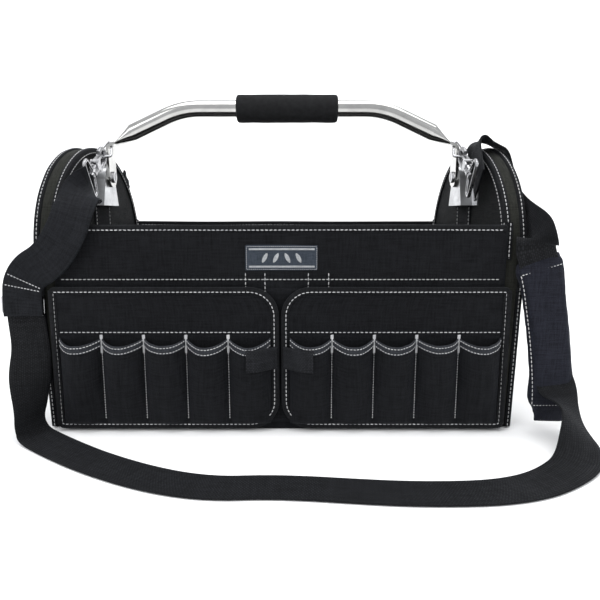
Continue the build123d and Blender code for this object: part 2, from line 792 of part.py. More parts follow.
pad_width, pad_back, cover = 58, 9.5, 1.6
tunnel_width, tunnel_half = 47, 1.6
pad_tail = (
    ((314, -133, 8), (1.0, 0.0, 0.0)),
    ((315, -133, 34), (1.0, 0.0, 0.0)),
    ((313.5, -133, 62), (0.995, 0.0, 0.06)),
)
sleeve_stations = (((311.2, -133, 82), (0.99, 0.0, 0.08)), *under_pad)
back_band = ribbon(ribbon_planes(pad_tail + under_pad), pad_width, tunnel_half, tunnel_half + pad_back)
sleeve_band = ribbon(ribbon_planes(sleeve_stations), pad_width, -tunnel_half - cover, tunnel_half + 1)
tunnel_start = ((315, -133, 60), (0.99, 0.0, 0.04))
tunnel_end = ((280.5, -133, 224), (0.955, 0.0, 0.30))
tunnel_planes = ribbon_planes((tunnel_start, *sleeve_stations, tunnel_end))
tunnel_band = ribbon(tunnel_planes, tunnel_width, -tunnel_half, tunnel_half)
with BuildPart() as shoulder_pad:
    add(back_band)
    add(sleeve_band)
    add(tunnel_band, mode=Mode.SUBTRACT)
save(shoulder_pad, "shoulder_pad")

run_length = sum((Vector(*b[0]) - Vector(*a[0])).length for a, b in zip(route, route[1:]))
print("strap length", round(run_length), "mm; volume over section",
      round(strap_webbing.part.volume / webbing / webbing_thickness), "mm")
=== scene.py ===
import math

import bpy
from mathutils import Euler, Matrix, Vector, noise


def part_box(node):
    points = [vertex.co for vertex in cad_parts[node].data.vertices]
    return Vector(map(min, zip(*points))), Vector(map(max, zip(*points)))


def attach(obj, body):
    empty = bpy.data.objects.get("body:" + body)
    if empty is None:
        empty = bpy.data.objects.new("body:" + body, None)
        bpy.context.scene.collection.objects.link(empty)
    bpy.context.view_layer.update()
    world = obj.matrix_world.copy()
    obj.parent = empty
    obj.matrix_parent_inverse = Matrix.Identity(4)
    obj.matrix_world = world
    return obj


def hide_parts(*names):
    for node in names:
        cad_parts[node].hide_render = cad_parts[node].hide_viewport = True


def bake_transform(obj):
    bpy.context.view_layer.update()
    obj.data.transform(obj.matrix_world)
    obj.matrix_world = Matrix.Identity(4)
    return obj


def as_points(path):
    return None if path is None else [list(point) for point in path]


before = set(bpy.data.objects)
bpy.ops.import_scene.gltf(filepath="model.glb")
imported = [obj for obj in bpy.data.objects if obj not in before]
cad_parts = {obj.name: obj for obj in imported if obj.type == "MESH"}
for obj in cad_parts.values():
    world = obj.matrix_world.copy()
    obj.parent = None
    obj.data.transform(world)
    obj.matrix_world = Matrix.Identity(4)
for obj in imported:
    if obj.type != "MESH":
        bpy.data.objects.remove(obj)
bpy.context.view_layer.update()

scene = bpy.context.scene
mm = 0.001
sides = (("left", -1), ("right", 1))
looks = {}              # name of a look: its slot and material


# --- camera, light and floor ---
eye = (0.0226, -0.727, 0.253)
eye_tilt, lens_mm, sensor_mm = 80.7, 32.1, 36


def add_camera():
    data = bpy.data.cameras.new("camera")
    data.sensor_width = sensor_mm
    data.lens = lens_mm
    camera = bpy.data.objects.new("camera", data)
    camera.location = eye
    camera.rotation_euler = Euler((math.radians(eye_tilt), 0, 0))
    scene.collection.objects.link(camera)
    scene.camera = camera


def area_light(name, place, target, size, power):
    data = bpy.data.lights.new(name, "AREA")
    data.shape = "RECTANGLE"
    data.size, data.size_y = size
    data.energy = power
    light = bpy.data.objects.new(name, data)
    light.location = place
    direction = Vector(target) - Vector(place)
    light.rotation_euler = direction.to_track_quat("-Z", "Y").to_euler()
    scene.collection.objects.link(light)


def add_stage():
    """A pale sweep: floor that curves up into a backdrop."""
    floor_end, bend = 1.6, 1.2
    profile = [(-4.0, 0.0), (floor_end, 0.0)]
    for k in range(1, 13):
        angle = math.radians(90 * k / 12)
        profile.append((floor_end + bend * math.sin(angle), bend - bend * math.cos(angle)))
    profile.append((floor_end + bend, 5.0))
    points = [(x, y, z - 0.0004) for y, z in profile for x in (-6, 6)]
    faces = [(2 * k, 2 * k + 1, 2 * k + 3, 2 * k + 2) for k in range(len(profile) - 1)]
    sweep = new_piece("studio_sweep", points, faces)
    paper = Shading("studio_paper")
    paper.set(Base_Color=(0.93, 0.93, 0.93, 1), Roughness=0.9, Specular_IOR_Level=0.1)
    sweep.data.materials.append(paper.material)


def add_world():
    world = bpy.data.worlds.new("studio")
    world.use_nodes = True
    background = world.node_tree.nodes["Background"]
    background.inputs["Color"].default_value = (0.95, 0.97, 1.0, 1)
    background.inputs["Strength"].default_value = 0.85
    scene.world = world
    scene.view_settings.view_transform = "Standard"


# --- mesh building ---
def new_piece(name, points, faces, soft=True):
    mesh = bpy.data.meshes.new(name)
    mesh.from_pydata([tuple(point) for point in points], [], faces)
    if soft:
        mesh.shade_smooth()
    piece = bpy.data.objects.new(name, mesh)
    scene.collection.objects.link(piece)
    return piece


def lattice(name, rows, wrap=False, ring=False):
    """Mesh through rows of points, with UVs in metres. wrap joins each row's ends, and ring
    joins the last row to the first."""
    count, width = len(rows), len(rows[0])
    columns = width + 1 if wrap else width
    lines = count + 1 if ring else count
    middle_row = rows[count // 2]
    middle_column = [row[width // 2] for row in rows]
    along_u = running_length([middle_row[i % width] for i in range(columns)])
    along_v = running_length([middle_column[j % count] for j in range(lines)])
    faces, corners = [], []
    for j in range(lines - 1):
        for i in range(columns - 1):
            cells = ((i, j), (i + 1, j), (i + 1, j + 1), (i, j + 1))
            faces.append([(b % count) * width + a % width for a, b in cells])
            corners += [(along_u[a], along_v[b]) for a, b in cells]
    piece = new_piece(name, [point for row in rows for point in row], faces)
    layer = piece.data.uv_layers.new(name="UVMap")
    for corner, coordinate in zip(layer.data, corners):
        corner.uv = coordinate
    return piece


def running_length(points):
    total, lengths = 0.0, [0.0]
    for a, b in zip(points, points[1:]):
        total += (Vector(b) - Vector(a)).length
        lengths.append(total)
    return lengths


def surface(name, columns, lines, point):
    """Mesh through point(s, t), both from 0 to 1."""
    rows = [[point(i / columns, j / lines) for i in range(columns + 1)] for j in range(lines + 1)]
    return lattice(name, rows)


def sweep_tape(name, path, outward, across, profile, ring=False):
    """A closed profile of (outward, across) pairs carried along a path."""
    rows = []
    for point, out, side in zip(path, outward, across):
        rows.append([point + out * a + side * b for a, b in profile])
    return lattice(name, rows, wrap=True, ring=ring)


def thicken(piece, thickness, offset=-1.0):
    modifier = piece.modifiers.new("thickness", "SOLIDIFY")
    modifier.thickness = thickness
    modifier.offset = offset
    modifier.use_even_offset = False
    return piece


def smooth(piece, levels=1):
    modifier = piece.modifiers.new("subdivision", "SUBSURF")
    modifier.levels = modifier.render_levels = levels
    return piece


def finish(piece, body, look, *nodes):
    """Gives a piece its look, its body and the nodes that it stands for."""
    slot, material = looks[look]
    piece.data.materials.append(material)
    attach(piece, body)
    if nodes:
        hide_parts(*nodes)
    return piece


def box_of(node):
    """Low and high corners of a node."""
    return [Vector(corner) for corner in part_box(node)]


def ripple(x, z, size, seed=0.0):
    """Smooth unevenness between about -1 and 1."""
    return noise.noise(Vector((x / size, z / size, seed)))


def ease(value):
    value = min(max(value, 0.0), 1.0)
    return value * value * (3 - 2 * value)


def lerp(a, b, t):
    return a + (b - a) * t


# --- stitching ---
stitch_sets = {}        # body: its stitches


def resample(points, pitch, closed=False):
    points = [Vector(p) for p in points]
    if closed:
        points.append(points[0])
    lengths = running_length(points)
    count = max(int(lengths[-1] / pitch), 1)
    found, k = [], 0
    for n in range(count):
        for end in (n + 0.14, n + 0.86):
            distance = end * lengths[-1] / count
            while k < len(lengths) - 2 and lengths[k + 1] < distance:
                k += 1
            span = lengths[k + 1] - lengths[k]
            share = (distance - lengths[k]) / span if span else 0
            found.append(points[k].lerp(points[k + 1], share))
    return list(zip(found[::2], found[1::2]))


def stitches(group, path, up, pitch=4.9 * mm, closed=False, gauge=0.47 * mm):
    """Adds a line of thread stitches along a path. up is the direction off the cloth."""
    stitch_sets.setdefault(group, [])
    for a, b in resample(path, pitch, closed):
        facing = up(a) if callable(up) else Vector(up)
        slant = 0.12 * (a - b).length * noise.noise(a * 400)
        side = (b - a).cross(facing).normalized()
        stitch_sets[group].append((a + side * slant, b - side * slant, facing.normalized(), gauge))


def thread_mesh(name, threads):
    points, faces = [], []
    rings = ((0.0, 0.35, -0.5), (0.18, 0.9, 0.25), (0.5, 1.0, 0.55), (0.82, 0.9, 0.25),
             (1.0, 0.35, -0.5))
    for a, b, facing, gauge in threads:
        along = b - a
        side = along.cross(facing).normalized()
        base = len(points)
        for share, swell, lift in rings:
            centre = a + along * share + facing * gauge * lift
            for k in range(6):
                angle = math.pi * k / 3
                away = side * math.cos(angle) * 1.15 + facing * math.sin(angle)
                points.append(centre + away * gauge * swell)
        for ring in range(len(rings) - 1):
            first = base + ring * 6
            for k in range(6):
                n = (k + 1) % 6
                faces.append((first + k, first + n, first + 6 + n, first + 6 + k))
    return new_piece(name, points, faces)


# --- materials ---
class Shading:
    """A material's node tree with short calls for its nodes."""

    def __init__(self, name):
        self.material = bpy.data.materials.new(name)
        self.material.use_nodes = True
        self.nodes = self.material.node_tree.nodes
        self.links = self.material.node_tree.links
        self.shader = self.nodes["Principled BSDF"]

    def feed(self, socket, value):
        if isinstance(value, bpy.types.NodeSocket):
            self.links.new(value, socket)
        elif value is not None:
            socket.default_value = value

    def add(self, kind, *values, output=0, **settings):
        node = self.nodes.new(kind)
        for key, setting in settings.items():
            setattr(node, key, setting)
        for socket, value in zip(node.inputs, values):
            self.feed(socket, value)
        return node.outputs[output]

    def place(self):
        """Coordinates in metres in the piece's own frame."""
        return self.add("ShaderNodeTexCoord", output=3)

    def math(self, operation, a, b=None):
        return self.add("ShaderNodeMath", a, b, operation=operation)

    def times(self, a, b):
        return self.math("MULTIPLY", a, b)

    def plus(self, a, b):
        return self.math("ADD", a, b)

    def noise(self, vector, scale, detail=2.0, roughness=0.5):
        node = self.nodes.new("ShaderNodeTexNoise")
        self.feed(node.inputs["Vector"], vector)
        node.inputs["Scale"].default_value = scale
        node.inputs["Detail"].default_value = detail
        node.inputs["Roughness"].default_value = roughness
        return node.outputs["Fac"]

    def stretched(self, vector, x, y, z=1.0):
        return self.add("ShaderNodeVectorMath", vector, (x, y, z), operation="MULTIPLY")

    def span(self, value, low, high, new_low, new_high):
        return self.add("ShaderNodeMapRange", value, low, high, new_low, new_high)

    def blend_colours(self, factor, a, b):
        node = self.nodes.new("ShaderNodeMix")
        node.data_type = "RGBA"
        self.feed(node.inputs["Factor"], factor)
        self.feed(node.inputs["A"], a if isinstance(a, bpy.types.NodeSocket) else (*a, 1))
        self.feed(node.inputs["B"], b if isinstance(b, bpy.types.NodeSocket) else (*b, 1))
        return node.outputs["Result"]

    def bump(self, height, distance, strength=1.0):
        node = self.nodes.new("ShaderNodeBump")
        self.feed(node.inputs["Height"], height)
        node.inputs["Strength"].default_value = strength
        node.inputs["Distance"].default_value = distance
        self.links.new(node.outputs["Normal"], self.shader.inputs["Normal"])

    def set(self, **values):
        for key, value in values.items():
            self.feed(self.shader.inputs[key.replace("_", " ")], value)


def cloth_place(tree, boxed):
    """Coordinates in metres on the cloth: the piece's own UVs, or the nearest flat side."""
    if not boxed:
        return tree.add("ShaderNodeTexCoord", output=2)
    place = tree.place()
    split = tree.nodes.new("ShaderNodeSeparateXYZ")
    tree.feed(split.inputs[0], place)
    facing = tree.nodes.new("ShaderNodeSeparateXYZ")
    normal = tree.add("ShaderNodeTexCoord", output=1)
    tree.feed(facing.inputs[0], tree.add("ShaderNodeVectorMath", normal, operation="ABSOLUTE"))
    sideways = tree.math("GREATER_THAN", facing.outputs[0], facing.outputs[1])
    level = tree.math("GREATER_THAN", facing.outputs[2], 0.7071)
    across = tree.add("ShaderNodeMix", sideways, None, split.outputs[0], split.outputs[1])
    up = tree.add("ShaderNodeMix", level, None, split.outputs[2], split.outputs[1])
    return tree.add("ShaderNodeCombineXYZ", across, up, 0.0)


def weave_height(tree, place, pitch, kind):
    """Height of the threads, 0 to 1, for a plain, ribbed or twill weave."""
    scaled = tree.stretched(place, 1 / pitch[0], 1 / pitch[1])
    split = tree.nodes.new("ShaderNodeSeparateXYZ")
    tree.feed(split.inputs[0], scaled)
    u, v = split.outputs[0], split.outputs[1]
    if kind == "twill":
        slope = tree.plus(u, tree.times(v, 0.5))
        wave = tree.math("SINE", tree.times(slope, 2 * math.pi))
        fine = tree.math("SINE", tree.times(v, 4 * math.pi))
        return tree.span(tree.plus(wave, tree.times(fine, 0.35)), -1.35, 1.35, 0, 1)
    hump_u = tree.math("ABSOLUTE", tree.math("SINE", tree.times(u, math.pi)))
    hump_v = tree.math("ABSOLUTE", tree.math("SINE", tree.times(v, math.pi)))
    cell = tree.plus(tree.math("FLOOR", u), tree.math("FLOOR", v))
    odd = tree.math("PINGPONG", cell, 1.0)
    warp = tree.times(tree.math("POWER", hump_u, 0.6), tree.span(hump_v, 0, 1, 0.45, 1))
    weft = tree.times(tree.math("POWER", hump_v, 0.6), tree.span(hump_u, 0, 1, 0.45, 1))
    if kind == "rib":
        weft = tree.times(weft, 0.55)
    return tree.add("ShaderNodeMix", odd, None, weft, warp)


def cloth(name, colour, pitch=(1.15, 1.15), kind="plain", boxed=False, relief=0.28, gloss=0.0,
          lift=2.4, fade=0.35, rough=0.82, sheen=0.025):
    """Woven cloth: threads, uneven yarn, a little dust and fading, painted thread highlights."""
    tree = Shading(name)
    place = cloth_place(tree, boxed)
    pitch = (pitch[0] * mm, pitch[1] * mm)
    threads = weave_height(tree, place, pitch, kind)
    warp_yarn = tree.noise(tree.stretched(place, 0.55 / pitch[0], 0.05 / pitch[1]), 1.0, 2)
    weft_yarn = tree.noise(tree.stretched(place, 0.05 / pitch[0], 0.55 / pitch[1]), 1.0, 2)
    yarn = tree.plus(warp_yarn, weft_yarn)
    fuzz = tree.noise(place, 0.9 / pitch[0], 3, 0.7)
    patches = tree.noise(place, 9.0, 3)
    # Thread height gives painted highlight on the thread tops and painted shade between threads,
    # times real yarn and fuzz tone.
    painted_highlight_and_tone = tree.times(threads, tree.span(yarn, 0.6, 1.4, 0.35, 1.6))
    painted_highlight_and_tone = tree.times(painted_highlight_and_tone, tree.span(fuzz, 0.3, 0.7, 0.6, 1.4))
    worn = tree.span(patches, 0.35, 0.75, 1.0, 1.0 + fade)
    painted_highlight_and_tone = tree.times(painted_highlight_and_tone, worn)
    # dark is the painted shade between threads; light, raised by lift, is the painted highlight on
    # the thread tops.
    dark = tuple(0.45 * c for c in colour)
    light = tuple(lift * c + 0.002 for c in colour)
    tone = tree.blend_colours(tree.span(painted_highlight_and_tone, 0.1, 1.1, 0, 1), dark, light)
    roughness = tree.span(painted_highlight_and_tone, 0, 1.2, rough + 0.1, rough - 0.14 - gloss)
    tree.set(Base_Color=tone, Roughness=roughness, Specular_IOR_Level=0.1 + gloss)
    tree.set(Sheen_Weight=sheen, Sheen_Roughness=0.45)
    tree.shader.inputs["Sheen Tint"].default_value = (0.75, 0.8, 0.95, 1)
    height = tree.plus(threads, tree.times(yarn, 0.6))
    height = tree.plus(height, tree.times(fuzz, 0.4))
    tree.bump(height, relief * mm)
    return tree.material


def thread_material():
    tree = Shading("thread")
    place = tree.place()
    twist = tree.noise(place, 2600, 1)
    soil = tree.noise(place, 60, 2)
    clean, soiled = (0.62, 0.62, 0.62), (0.36, 0.365, 0.38)
    tone = tree.blend_colours(tree.span(soil, 0.3, 0.75, 0, 1), clean, soiled)
    tone = tree.blend_colours(tree.span(twist, 0.35, 0.65, 0, 0.5), tone, (0.2, 0.2, 0.21))
    tree.set(Base_Color=tone, Roughness=0.7)
    tree.bump(twist, 0.15 * mm)
    return tree.material


def metal(name, colour, rough, brushed=0.0, spangle=0.0, wear=0.12):
    """Plated metal with fine scratches, an uneven plate and dulled patches."""
    tree = Shading(name)
    place = tree.place()
    scratches = tree.noise(tree.stretched(place, 240, 2600, 2600), 1.0, 3)
    haze = tree.noise(place, 42, 4)
    roughness = tree.span(haze, 0.3, 0.75, rough, rough + wear)
    roughness = tree.plus(roughness, tree.times(scratches, brushed))
    dull, dark = (tuple(share * c for c in colour) for share in (0.72, 0.5))
    tone = tree.blend_colours(tree.span(haze, 0.35, 0.8, 0, 1), colour, dull)
    if spangle:
        grain = tree.add("ShaderNodeTexVoronoi", tree.stretched(place, 1, 1), None, 300.0, output=1)
        grey = tree.add("ShaderNodeRGBToBW", grain)
        tone = tree.blend_colours(tree.times(grey, spangle), tone, dark)
        roughness = tree.plus(roughness, tree.times(grey, spangle * 0.4))
    tree.set(Base_Color=tone, Metallic=1.0, Roughness=roughness)
    tree.bump(tree.plus(scratches, haze), 0.02 * mm, 0.6)
    return tree.material


def foam():
    tree = Shading("grip_foam")
    place = tree.place()
    cells = tree.add("ShaderNodeTexVoronoi", place, None, 1500.0)
    lumps = tree.noise(place, 180, 4)
    dark, light = (0.0055, 0.0057, 0.0062), (0.0100, 0.0104, 0.0112)
    tone = tree.blend_colours(tree.span(lumps, 0.3, 0.7, 0, 1), dark, light)
    tree.set(Base_Color=tone, Roughness=0.86, Specular_IOR_Level=0.15)
    tree.bump(tree.plus(tree.times(cells, 0.5), lumps), 0.35 * mm)
    return tree.material


def sheet_plastic():
    tree = Shading("stiffener_sheet")
    place = tree.place()
    grain = tree.noise(place, 700, 3)
    tone = tree.blend_colours(grain, (0.012, 0.012, 0.012), (0.03, 0.03, 0.031))
    tree.set(Base_Color=tone, Roughness=tree.span(grain, 0.3, 0.7, 0.45, 0.65))
    tree.bump(grain, 0.08 * mm)
    return tree.material


def pile(name, colour):
    """Touch-fastener tape: a dense field of tiny loops, with painted highlights on the loop tops.
    """
    tree = Shading(name)
    place = tree.place()
    loops = tree.add("ShaderNodeTexVoronoi", place, None, 1100.0)
    light = tuple(2.4 * c for c in colour)
    # Painted highlight on the loop tops and painted shade in the gaps between loops.
    tone = tree.blend_colours(tree.span(loops, 0, 0.7, 0, 1), light, colour)
    tree.set(Base_Color=tone, Roughness=0.9, Sheen_Weight=0.5)
    tree.bump(tree.times(loops, -1.0), 0.6 * mm)
    return tree.material


# --- shoulder strap ---
# Points on the strap's middle line, each with the direction of its width, from the left hook
# to the right one.
left_upper = (
    (-0.2285, -0.0792, 0.287, 0, -0.59, 0.81),
    (-0.2285, -0.092, 0.278, -0.55, -0.42, 0.65),
    (-0.2265, -0.112, 0.269, -0.98, -0.03, 0.12),
    (-0.228, -0.127, 0.255, -0.98, 0, 0.18),
    (-0.234, -0.1325, 0.233, -0.95, 0, 0.3),
    (-0.255, -0.1315, 0.201, -0.89, 0, 0.45),
    (-0.2875, -0.127, 0.184, -0.93, 0, 0.36),
)
left_hanging = (
    (-0.2915, -0.1254, 0.149, -0.98, 0, 0.2),
    (-0.291, -0.124, 0.126, -0.995, 0, 0.08),
    (-0.289, -0.124, 0.098, -1, -0.02, 0),
    (-0.287, -0.132, 0.078, -0.93, -0.36, 0),
    (-0.284, -0.143, 0.058, -0.64, -0.77, 0),
    (-0.283, -0.146, 0.036, -0.42, -0.91, 0),
    (-0.286, -0.147, 0.016, -0.28, -0.96, -0.02),
    (-0.28, -0.15, 0.0045, -0.3, -0.95, 0),
)
on_floor = (
    (-0.266, -0.16, 0.0015, -0.42, -0.9, 0),
    (-0.246, -0.175, 0.0013, -0.55, -0.84, 0),
    (-0.222, -0.192, 0.0013, -0.58, -0.81, 0),
    (-0.195, -0.21, 0.0013, -0.54, -0.84, 0),
    (-0.164, -0.228, 0.0013, -0.45, -0.89, 0),
    (-0.128, -0.246, 0.0013, -0.38, -0.92, 0),
    (-0.09, -0.26, 0.0013, -0.24, -0.97, 0),
    (-0.052, -0.2665, 0.0013, -0.04, -1, 0),
    (-0.012, -0.264, 0.0013, 0.02, -1, 0),
    (0.028, -0.266, 0.0013, -0.08, -0.99, 0),
    (0.07, -0.271, 0.0013, -0.1, -0.99, 0),
    (0.114, -0.2755, 0.0013, -0.05, -1, 0),
    (0.158, -0.2765, 0.0013, 0, -1, 0),
    (0.202, -0.274, 0.0013, 0.14, -0.99, 0),
    (0.24, -0.264, 0.0013, 0.38, -0.92, 0),
    (0.272, -0.246, 0.0015, 0.58, -0.81, 0),
    (0.3, -0.225, 0.004, 0.72, -0.69, -0.06),
)
right_rising = (
    (0.315, -0.203, 0.013, 0.76, -0.53, -0.38),
    (0.321, -0.18, 0.025, 0.47, -0.45, -0.76),
    (0.3215, -0.16, 0.037, 0.47, -0.48, -0.74),
    (0.318, -0.143, 0.05, 0.8, -0.35, -0.46),
    (0.3136, -0.1348, 0.065, 0.995, -0.03, 0),
    (0.3123, -0.1334, 0.076, 0.99, -0.04, 0.06),
)
under_pad = (
    (0.31, -0.133, 0.09, 0.99, -0.01, 0.13),
    (0.306, -0.133, 0.118, 0.985, 0, 0.17),
    (0.3, -0.133, 0.15, 0.975, 0, 0.22),
    (0.294, -0.133, 0.182, 0.965, 0, 0.26),
    (0.286, -0.133, 0.205, 0.96, 0, 0.29),
)
right_upper = (
    (0.2833, -0.1332, 0.215, 0.95, -0.05, 0.3),
    (0.2835, -0.1385, 0.224, 0.7, -0.55, 0.42),
    (0.287, -0.131, 0.233, 0.2, -0.62, 0.75),
    (0.287, -0.11, 0.241, 0.03, -0.45, 0.88),
    (0.2865, -0.085, 0.25, 0, -0.52, 0.85),
    (0.286, -0.06, 0.263, 0, -0.68, 0.73),
    (0.2855, -0.042, 0.281, 0, -0.86, 0.51),
    (0.284, -0.032, 0.305, 0, -0.99, 0.12),
    (0.278, -0.031, 0.331, 0, -0.985, -0.15),
    (0.264, -0.031, 0.3386, 0, -0.985, -0.14),
)
right_inner = (
    (0.25, -0.034, 0.3404, 0, -0.985, -0.08),
    (0.2405, -0.038, 0.3365, 0, -0.97, 0.2),
    (0.2395, -0.045, 0.322, 0, -0.75, 0.66),
    (0.238, -0.06, 0.304, 0, -0.62, 0.78),
    (0.235, -0.08, 0.286, 0, -0.6, 0.8),
)
strap_route = (left_upper + left_hanging + on_floor + right_rising + under_pad + right_upper
               + right_inner)
strap_width, strap_thickness = 0.044, 0.002
samples = 8


def smooth_line(points):
    """Points along the NURBS line that the route's points control."""
    curve = bpy.data.curves.new("route", "CURVE")
    curve.dimensions = "3D"
    spline = curve.splines.new("NURBS")
    spline.points.add(len(points) - 1)
    for control, point in zip(spline.points, points):
        control.co = (*point, 1)
    spline.order_u = 3
    spline.use_endpoint_u = True
    spline.resolution_u = samples
    line = bpy.data.objects.new("route", curve)
    scene.collection.objects.link(line)
    mesh = bpy.data.meshes.new_from_object(line)
    found = [vertex.co.copy() for vertex in mesh.vertices]
    bpy.data.meshes.remove(mesh)
    bpy.data.objects.remove(line)
    return found


def direction(line, k):
    """Direction of a line at its point k."""
    return (line[min(k + 1, len(line) - 1)] - line[max(k - 1, 0)]).normalized()


def strap_frames(route):
    """Middle points, width directions and face directions along a flat strap."""
    middle = smooth_line([row[:3] for row in route])
    edge = smooth_line([Vector(row[:3]) + Vector(row[3:]) * strap_width / 2 for row in route])
    widths, faces = [], []
    for k, (point, side) in enumerate(zip(middle, edge)):
        ahead = direction(middle, k)
        width = side - point
        width = (width - ahead * width.dot(ahead)).normalized()
        widths.append(width)
        faces.append(ahead.cross(width))
    return middle, widths, faces


def webbing_section(width, thickness, curl=0.0):
    """Closed section of flat webbing with rounded edges."""
    half, thick = width / 2, thickness / 2
    steps = (-1.0, -0.985, -0.94, -0.7, -0.35, 0.0, 0.35, 0.7, 0.94, 0.985, 1.0)
    swell = (0.0, 0.6, 1.0, 1.0, 0.96, 0.94, 0.96, 1.0, 1.0, 0.6, 0.0)
    top = [(half * s, thick * w + curl * s * s) for s, w in zip(steps, swell)]
    low = [(half * s, -thick * w + curl * s * s) for s, w in zip(steps, swell)]
    return top + low[-2:0:-1]


def add_strap():
    middle, widths, faces = strap_frames(strap_route)
    section = webbing_section(strap_width, strap_thickness)
    strap = sweep_tape("shoulder_strap", middle, widths, faces, section)
    finish(strap, "bag", "strap", "strap_webbing")

    end = int((len(left_upper) + 0.25) * samples)
    over_slider = end - 2 * samples
    lifted = []
    for k in range(end):
        gap = lerp(2.6, 5.7, ease((k - over_slider) / 7))
        lifted.append(middle[k] - faces[k] * gap * mm)
    section = webbing_section(strap_width + 0.001, 0.0023, -0.0003)
    doubled = sweep_tape("strap_doubled_end", lifted, widths[:end], faces[:end], section)
    finish(doubled, "bag", "twill", "strap_return")
    for back in (10, 12):
        place = lifted[end - back] - faces[end - back] * 0.0013
        across = widths[end - back] * 0.020
        stitches("bag", [place - across, place + across], -faces[end - back], 3.6 * mm)

    pad = add_pad()
    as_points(middle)


# --- shoulder pad ---
pad_width, pad_thickness = 0.056, 0.0132
pad_puff = 3.5          # mm that the cloth may move when blown up
pad_route = (
    (0.314, -0.1293, 0.0095, 1, 0, 0),
    (0.3148, -0.1293, 0.034, 1, 0, 0),
    (0.3132, -0.1293, 0.062, 0.995, 0, 0.06),
    (0.31, -0.1293, 0.09, 0.99, 0, 0.13),
    (0.306, -0.1293, 0.118, 0.985, 0, 0.17),
    (0.3, -0.1293, 0.15, 0.975, 0, 0.22),
    (0.294, -0.1293, 0.182, 0.965, 0, 0.26),
    (0.2865, -0.1293, 0.204, 0.96, 0, 0.29),
)


def pad_section(width, thickness, count=28):
    points = []
    for k in range(count):
        angle = 2 * math.pi * k / count
        c, s = math.cos(angle), math.sin(angle)
        a = math.copysign(abs(c) ** 0.35, c)
        b = math.copysign(abs(s) ** 0.75, s)
        points.append((a * width / 2, b * thickness / 2))
    return points


def add_pad():
    middle, widths, faces = strap_frames(pad_route)
    rows = []
    last = len(middle) - 1
    for k, (point, width, face) in enumerate(zip(middle, widths, faces)):
        low_end, top_end = ease(k / 7), ease((last - k) / 2.5)
        breadth = pad_width * lerp(0.66, 1.0, low_end) * lerp(0.93, 1.0, top_end)
        depth = pad_thickness * lerp(0.35, 1.0, low_end) * lerp(0.45, 1.0, top_end)
        rows.append([point + width * a + face * b for a, b in pad_section(breadth, depth)])
    pad = lattice("strap_pad", rows, wrap=True)
    close_ends(pad, len(rows[0]))
    pad = inflate(pad, voxel=0.0035, pressure=3.0, cap=pad_puff)
    smooth(pad)
    front = [point - Vector((0, 0.0075, 0)) for point in middle]
    for k in (5, last - 3):
        across = widths[k] * 0.023
        stitches("bag", [front[k] - across, front[k] + across], (0, -1, 0), 3.4 * mm)
    side = [front[k] - widths[k] * 0.0235 + Vector((0, 0.0012, 0)) for k in range(5, last - 2)]
    stitches("bag", side, (-0.4, -1, 0))
    return pad


def close_ends(piece, width):
    """Fills the two open ends of a wrapped lattice."""
    mesh = piece.data
    points = [tuple(vertex.co) for vertex in mesh.vertices]
    faces = [tuple(face.vertices) for face in mesh.polygons]
    total = len(points)
    faces.append(tuple(range(width - 1, -1, -1)))
    faces.append(tuple(range(total - width, total)))
    mesh.clear_geometry()
    mesh.from_pydata(points, [], faces)
    mesh.shade_smooth()


def apply_modifiers(piece):
    graph = bpy.context.evaluated_depsgraph_get()
    mesh = bpy.data.meshes.new_from_object(piece.evaluated_get(graph))
    piece.modifiers.clear()
    piece.data = mesh
    mesh.shade_smooth()


def inflate(piece, voxel, pressure, cap, frames=18):
    """Blows a closed form up a little as cloth, and holds each point within the cap in mm."""
    remesh = piece.modifiers.new("remesh", "REMESH")
    remesh.mode = "VOXEL"
    remesh.voxel_size = voxel
    apply_modifiers(piece)
    start = [vertex.co.copy() for vertex in piece.data.vertices]
    cloth_maker = piece.modifiers.new("cloth", "CLOTH")
    settings = cloth_maker.settings
    settings.quality = 6
    settings.mass = 0.3
    settings.use_pressure = True
    settings.uniform_pressure_force = pressure
    settings.effector_weights.gravity = 0
    settings.tension_stiffness = settings.compression_stiffness = 12
    settings.bending_stiffness = 0.4
    scene.frame_start, scene.frame_end = 1, frames
    for number in range(1, frames + 1):
        scene.frame_set(number)
    apply_modifiers(piece)
    for vertex, place in zip(piece.data.vertices, start):
        shift = vertex.co - place
        if shift.length > cap * mm:
            vertex.co = place + shift.normalized() * cap * mm
    scene.frame_set(1)
    return piece


# --- walls ---
heavy_cloth, medium_cloth, lining_cloth = 0.0014, 0.0012, 0.0008
front_half, rear_half = 0.255, 0.231
wall_front = 0.125
wall_back = 0.1204
wall_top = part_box("front_lining")[1][2]
seam_height = 0.178


def wall_cloth(name, half, distance, facing, puff=0.9, low=0.0016):
    """Cloth over a stiff wall: facing is -1 towards the front and 1 towards the back."""

    def point(s, t):
        x = lerp(-half, half, s) * -facing
        z = lerp(low, wall_top, t)
        edge = ease(min(half - abs(x), z - low, wall_top - z) / 0.012)
        lift = puff * edge * (0.5 + 0.5 * ripple(x, z * 1.4, 0.07, distance * 9))
        lift += 0.25 * ripple(x, z, 0.016, 3)
        lift -= 0.9 * math.exp(-(((z - seam_height) / 0.0016) ** 2))
        return (x, distance + facing * lift * mm, z)

    return surface(name, 120, 64, point)


